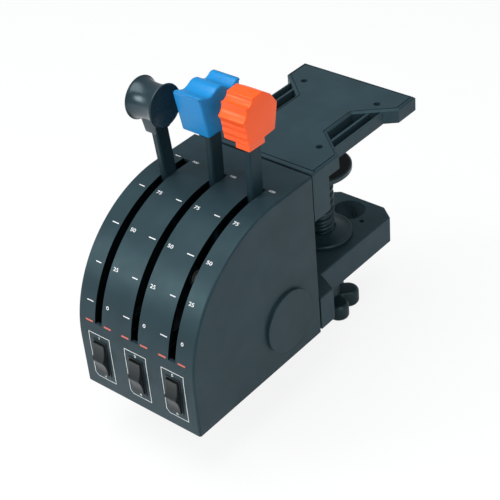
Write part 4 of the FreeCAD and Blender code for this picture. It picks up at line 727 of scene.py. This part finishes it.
def spool():
    """Waisted spool with a fine rim and dished ends, and a tapered collar."""
    half, dish = SPOOL_HALF, SPOOL_DISH
    rim = [(-half + dish, 0.2 * MM), (-half + dish, SPOOL_RADIUS * 0.55),
           (-half + dish * 0.35, SPOOL_RADIUS * 0.84), (-half + 0.15 * MM, SPOOL_RADIUS - 1.1 * MM),
           (-half, SPOOL_RADIUS - 0.8 * MM), (-half + 0.2 * MM, SPOOL_RADIUS - 0.2 * MM),
           (-half + SPOOL_RIM, SPOOL_RADIUS)]
    waist = []
    for step in range(1, WAIST_STEPS):
        turn = math.pi * step / WAIST_STEPS
        dip = (SPOOL_RADIUS - SPOOL_WAIST) * math.sin(turn) ** SPOOL_HOLLOW
        waist.append((-(half - SPOOL_RIM) * math.cos(turn), SPOOL_RADIUS - dip))
    profile = rim + waist + [(-height, radius) for height, radius in reversed(rim)]

    def place(height, angle, radius):
        return beside_lever(0, SPOOL_MIDDLE + height, radius * math.cos(angle),
                            SPOOL_CENTRE + radius * math.sin(angle))
    turned = lathe(profile, SPOOL_STEPS, "spool", place)
    rings = [[beside_lever(0, x * MM, across, along * MM) for x, along in COLLAR_SIDES]
             for across in (-COLLAR_HALF, COLLAR_HALF)]
    collar = solid_from(rings, "collar")
    weigh_edges(collar, lambda edge: 1.0)
    mesh = finished(turned, add(finished(collar, bevel(COLLAR_BEVEL))))
    knob(0, "spool_grip", mesh, "spool_knob", "spool_black")


def blue_block():
    """Block that narrows downwards, with a thick lip and a waved top."""
    outline = curve_through(BLUE_TOP) + list(BLUE_BASE)
    mesh = finished(slab(1, outline, BLUE_SIDES, (1.0, 0.9, 1.0)), bevel())
    knob(1, "block_grip", mesh, "block_knob", "knob_blue")


def orange_grip():
    """Many-sided knob with finger scallops, soft ripples below them and a half collar."""
    outline = list(ORANGE_CROWN[:2])
    outline += arc_through(*ORANGE_SCALLOPS[:3])
    outline += arc_through(*ORANGE_SCALLOPS[2:])[1:]
    outline += curve_through(ORANGE_FRONT, 4) + list(ORANGE_REAR[:-1])
    mesh = slab(2, outline, ORANGE_SIDES, (1.0, 0.35, 0.3), ORANGE_CORNER)
    collar = slab(2, list(ORANGE_COLLAR), (0.0, ORANGE_SIDES[1] - ORANGE_COLLAR_INSET), (0.2, 0.2, 0.2))
    mesh = finished(finished(mesh, bevel(ORANGE_BEVEL)), add(finished(collar, bevel())))
    knob(2, "scallop_grip", mesh, "scallop_knob", "knob_orange")


# ================================================================ upper arm
def pillar(outline, low, high):
    """Upright prism from an (x, y) outline."""
    return solid_from([[(x, y, z) for x, y in outline] for z in (low, high)], "pillar")


def inset(outline, distance):
    """Offset a closed (x, y) outline, listed anticlockwise, to its inside."""
    moved = []
    for step, here in enumerate(outline):
        here = Vector(here)
        before = (here - Vector(outline[step - 1])).normalized()
        after = (Vector(outline[(step + 1) % len(outline)]) - here).normalized()
        normal = Vector((-before.y - after.y, before.x + after.x)).normalized()
        moved.append(tuple(here + normal * distance / normal.dot(Vector((-before.y, before.x)))))
    return moved


def carved_arm():
    """Upper arm with thin rails beside its waist and a fine groove round the deck."""
    low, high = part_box("upper_arm")
    half, top = high.x, high.z
    above = top + 1 * MM
    first = low.y + ARM_HOLE_ROW
    second = first + ARM_HOLE_SPACING
    corners = [(half, first + ARM_SHOULDERS[0]), (ARM_WAIST, first + ARM_WAIST_RUN),
               (ARM_WAIST, second - ARM_WAIST_RUN), (half, second + ARM_SHOULDERS[1])]

    def slope(x, ends):
        (xa, ya), (xb, yb) = ends
        return ya + (yb - ya) * (x - xa) / (xb - xa)
    steps = []
    for inner, outer, base in ((RAIL_OUTER, half + 1 * MM, low.z),
                               (RIB_OUTER, RAIL_INNER, top - POCKET_DEPTH),
                               (ARM_WAIST, RIB_INNER, top - POCKET_DEPTH)):
        edge = [(x, slope(x, corners[:2])) for x in (inner, outer)]
        edge += [(x, slope(x, corners[2:])) for x in (outer, inner)]
        for side in (-1, 1):
            steps.append(cut(pillar([(side * x, y) for x, y in edge], base, above)))
    front = low.y + FRONT_GROOVE - GROOVE_INSET
    right = [(half, front)] + corners + [(half, high.y)]
    loop = right + [(-x, y) for x, y in reversed(right)]
    floor = top - GROOVE_DEPTH
    rings = [[(*outer, floor), (*inner, floor), (*inner, above), (*outer, above)]
             for outer, inner in zip(inset(loop, GROOVE_INSET - GROOVE_WIDTH / 2),
                                     inset(loop, GROOVE_INSET + GROOVE_WIDTH / 2))]
    steps.append(cut(welded(solid_from(rings + rings[:1], "groove", closed_ends=False))))
    mesh = finished(frame["nodes"]["upper_arm"].data.copy(), *steps)
    mesh.shade_flat()
    replacement("deck_arm", mesh, "bracket_black", "quadrant", "upper_arm")


# ================================================================ clamp
def flange_nut():
    """Nut with a smooth flange that rises to its bore, in place of the plain one and its screws."""
    low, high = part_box("clamp_nut")
    neck, depth = NUT_SPIGOT
    floor = low.z + depth
    rise = high.z - floor
    profile = [(low.z, NUT_BORE), (low.z, neck), (floor, neck), (floor, NUT_FLANGE - NUT_EDGE),
               (floor + NUT_EDGE, NUT_FLANGE)]
    for step in range(0, 7):
        turn = math.pi * step / 8
        profile.append((floor + rise * NUT_ROUND_START + NUT_ROUND * math.sin(turn),
                        NUT_FLANGE - NUT_ROUND + NUT_ROUND * math.cos(turn)))
    cone = NUT_FLANGE - NUT_RIM
    for step in range(1, 9):
        share = step / 8
        profile.append((floor + rise * (NUT_CONE_START + (1 - NUT_CONE_START) * share ** NUT_CONE_POWER),
                        cone - (cone - NUT_BORE - NUT_LIP) * share))
    profile.append((high.z, NUT_BORE))
    mesh = lathe(profile, NUT_STEPS, "nut", hollow=True)
    replacement("flange_nut", soften(mesh), "clamp_plastic", "quadrant", "clamp_nut", "nut_screws")


def star_radius(angle):
    """Plan radius of the star knob: round lobes that run into a waist."""
    step = 2 * math.pi / STAR_LOBES
    away = abs((angle - math.radians(STAR_TURN) + step / 2) % step - step / 2)
    inside = STAR_LOBE ** 2 - (STAR_REACH * math.sin(away)) ** 2
    lobe = STAR_REACH * math.cos(away) + math.sqrt(inside) if inside > 0 else 0.0
    return max(lobe, STAR_WAIST)


def star_plan():
    """Plan radii round the star knob, with the lobes' roots smoothed."""
    plan = []
    for step in range(STAR_STEPS):
        spread = [star_radius(2 * math.pi * (step + shift / 4) / STAR_STEPS)
                  for shift in range(-STAR_SMOOTH, STAR_SMOOTH + 1)]
        plan.append(sum(spread) / len(spread))
    return plan


def star_grip():
    """Six-lobed hand knob with rounded lobes and a short hub."""
    low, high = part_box("star_knob")
    top = low.z + STAR_HEIGHT
    angles = [2 * math.pi * step / STAR_STEPS for step in range(STAR_STEPS)]
    plan = star_plan()
    bottom = []
    for step in range(STAR_ROUND_STEPS, -1, -1):
        turn = math.pi / 2 * step / STAR_ROUND_STEPS
        bottom.append((low.z + STAR_ROUND * (1 - math.sin(turn)), STAR_ROUND * (1 - math.cos(turn))))
    upper = [(low.z + top - z, round_in) for z, round_in in reversed(bottom)]
    rings = []
    for z, round_in in bottom + upper:
        reaches = [radius - round_in * (STAR_WAIST_INSET if radius < STAR_WAIST + STAR_WAIST_BAND else 1.0)
                   for radius in plan]
        rings.append([upright(z, angle, reach) for angle, reach in zip(angles, reaches)])
    for z, radius in ((top + 0.01 * MM, HUB_RADIUS + 0.8 * MM), (top + 1.0 * MM, HUB_RADIUS),
                      (high.z - 2.0 * MM, HUB_RADIUS), (high.z - 0.6 * MM, HUB_RADIUS - 0.6 * MM),
                      (high.z, HUB_RADIUS - 2.0 * MM)):
        rings.append([upright(z, angle, radius) for angle in angles])
    bore = lathe([(low.z + STAR_BORE_FLOOR, STAR_BORE), (high.z + 1 * MM, STAR_BORE)], BORE_STEPS, "bore")
    mesh = finished(solid_from(rings, "star"), cut(bore))
    replacement("star_grip", soften(mesh, STAR_SMOOTH_ANGLE), "clamp_plastic", "screw", "star_knob")


def thread_profile(share):
    """Depth of the coarse thread below its crest, from 0 to 1, over one pitch."""
    away = abs(share - 0.5) * 2
    slope = (away - THREAD_CREST) / (2 * THREAD_FLANK)
    return 0.5 - 0.5 * math.cos(math.pi * min(max(slope, 0.0), 1.0))


def turned_outline(mesh):
    """(height, radius) corners, from below, of a solid that was turned about the clamp's axis."""
    found = {}
    for vertex in mesh.vertices:
        z = round(vertex.co.z, 6)
        radius = math.hypot(vertex.co.x, vertex.co.y)
        narrow, wide = found.get(z, (1.0, 0.0))
        if radius > 1e-6:
            narrow, wide = min(narrow, radius), max(wide, radius)
        found[z] = (narrow, wide)
    levels = sorted(found)
    outline = []
    for z in levels:
        below = z < (levels[0] + levels[-1]) / 2
        start, end = found[z] if below else reversed(found[z])
        outline.append((z, start))
        if abs(start - end) >= 1e-6:
            outline.append((z, end))
    return outline


def clamp_thread():
    """Screw with its coarse thread cut in, in place of the plain solid."""
    outline = turned_outline(frame["nodes"]["clamp_screw"].data)
    major = max(radius for z, radius in outline)
    low = min(z for z, radius in outline if radius > major - 1e-5)
    high = max(z for z, radius in outline if radius > major - 1e-5)
    count = round((high - low) / THREAD_PITCH * THREAD_ROWS)
    rows = [(z, radius, 0.0) for z, radius in outline if z <= low]
    for step in range(1, count):
        z = low + (high - low) * step / count
        rows.append((z, major, THREAD_DEPTH * min(1.0, (z - low) / THREAD_PITCH, (high - z) / THREAD_PITCH)))
    rows += [(z, radius, 0.0) for z, radius in outline if z >= high]
    rings = []
    for z, radius, depth in rows:
        turns = [step / THREAD_STEPS for step in range(THREAD_STEPS)]
        rings.append([upright(z, 2 * math.pi * turn,
                              radius - depth * thread_profile((z / THREAD_PITCH - turn) % 1.0))
                      for turn in turns])
    mesh = solid_from(rings, "clamp_thread")
    for face in mesh.polygons:
        face.use_smooth = len(face.vertices) == 4
    replacement("clamp_thread", mesh, "clamp_plastic", "screw", "clamp_screw")


# ================================================================ stage, light and camera
def make_world():
    """White behind the object, and a soft grey studio for its light."""
    world = bpy.data.worlds.new("studio")
    bpy.context.scene.world = world
    world.use_nodes = True
    tree = world.node_tree
    tree.nodes.clear()
    out = tree.nodes.new("ShaderNodeOutputWorld")
    mix = tree.nodes.new("ShaderNodeMixShader")
    path = tree.nodes.new("ShaderNodeLightPath")
    seen = tree.nodes.new("ShaderNodeBackground")
    seen.inputs["Color"].default_value = (1, 1, 1, 1)
    seen.inputs["Strength"].default_value = 1.0
    light = tree.nodes.new("ShaderNodeBackground")
    light.inputs["Color"].default_value = (*WORLD_COLOUR, 1.0)
    light.inputs["Strength"].default_value = WORLD_LIGHT
    tree.links.new(path.outputs["Is Camera Ray"], mix.inputs["Fac"])
    tree.links.new(light.outputs["Background"], mix.inputs[1])
    tree.links.new(seen.outputs["Background"], mix.inputs[2])
    tree.links.new(mix.outputs["Shader"], out.inputs["Surface"])


def make_floor():
    """White floor at the lowest point, part lit and part plain white where the camera sees it."""
    flat = bmesh.new()
    bmesh.ops.create_grid(flat, x_segments=1, y_segments=1, size=FLOOR_SIZE / 2)
    mesh = bpy.data.meshes.new("floor")
    flat.to_mesh(mesh)
    flat.free()
    floor = bpy.data.objects.new("floor", mesh)
    floor.location = (0, 0, cad_bounds[0].z)
    bpy.context.scene.collection.objects.link(floor)
    material, node = shader("floor_white", (FLOOR_GREY,) * 3, 0.9, Specular_IOR_Level=0.0)
    tree = material.node_tree
    path = tree.nodes.new("ShaderNodeLightPath")
    share = tree.nodes.new("ShaderNodeMath")
    share.operation = "MULTIPLY"
    share.inputs[1].default_value = FLOOR_WHITE_SHARE
    white = tree.nodes.new("ShaderNodeEmission")
    mix = tree.nodes.new("ShaderNodeMixShader")
    tree.links.new(path.outputs["Is Camera Ray"], share.inputs[0])
    tree.links.new(share.outputs["Value"], mix.inputs["Fac"])
    tree.links.new(node.outputs["BSDF"], mix.inputs[1])
    tree.links.new(white.outputs["Emission"], mix.inputs[2])
    tree.links.new(mix.outputs["Shader"], tree.nodes["Material Output"].inputs["Surface"])
    mesh.materials.append(material)


def direction(azimuth, elevation):
    """Unit vector from the object towards a viewer or a lamp; azimuth 0 is the user's side."""
    a, e = math.radians(azimuth), math.radians(elevation)
    return Vector((math.sin(a) * math.cos(e), -math.cos(a) * math.cos(e), math.sin(e)))


def make_lights():
    """Large overhead softbox, a side one and a weak front fill, which all look at the middle."""
    middle = (cad_bounds[0] + cad_bounds[1]) / 2
    for name, azimuth, elevation, distance, size, power in SOFTBOXES:
        lamp = bpy.data.lights.new(name, "AREA")
        lamp.shape = "RECTANGLE"
        lamp.size, lamp.size_y = size
        lamp.energy = power
        holder = bpy.data.objects.new(name, lamp)
        back = direction(azimuth, elevation)
        holder.location = middle + back * distance
        holder.rotation_mode = "QUATERNION"
        holder.rotation_quaternion = (-back).to_track_quat("-Z", "Y")
        bpy.context.scene.collection.objects.link(holder)


def make_camera():
    """Camera at the product view's angle, rolled a little as in the photograph."""
    data = bpy.data.cameras.new("camera")
    data.lens = CAMERA_LENS
    data.sensor_width = SENSOR_WIDTH
    data.dof.use_dof = False
    camera = bpy.data.objects.new("camera", data)
    bpy.context.scene.collection.objects.link(camera)
    back = direction(CAMERA_AZIMUTH, CAMERA_ELEVATION)
    right = (-back).cross(Vector((0, 0, 1))).normalized()
    up = back.cross(right)
    roll = math.radians(CAMERA_ROLL)
    across = right * math.cos(roll) + up * math.sin(roll)
    upward = up * math.cos(roll) - right * math.sin(roll)
    turn = Matrix((across, upward, back)).transposed()
    camera.matrix_world = Matrix.Translation(CAMERA_TARGET + back * CAMERA_DISTANCE) @ turn.to_4x4()
    bpy.context.scene.camera = camera


# ================================================================ the scene
dress_nodes()
for number in (1, 2, 3):
    lever_scale(number)
    idle_marks(number)
    switch_frame(number)
spool()
blue_block()
orange_grip()
carved_arm()
flange_nut()
star_grip()
clamp_thread()
make_world()
make_floor()
make_lights()
make_camera()
bpy.context.scene.view_settings.view_transform = "Standard"
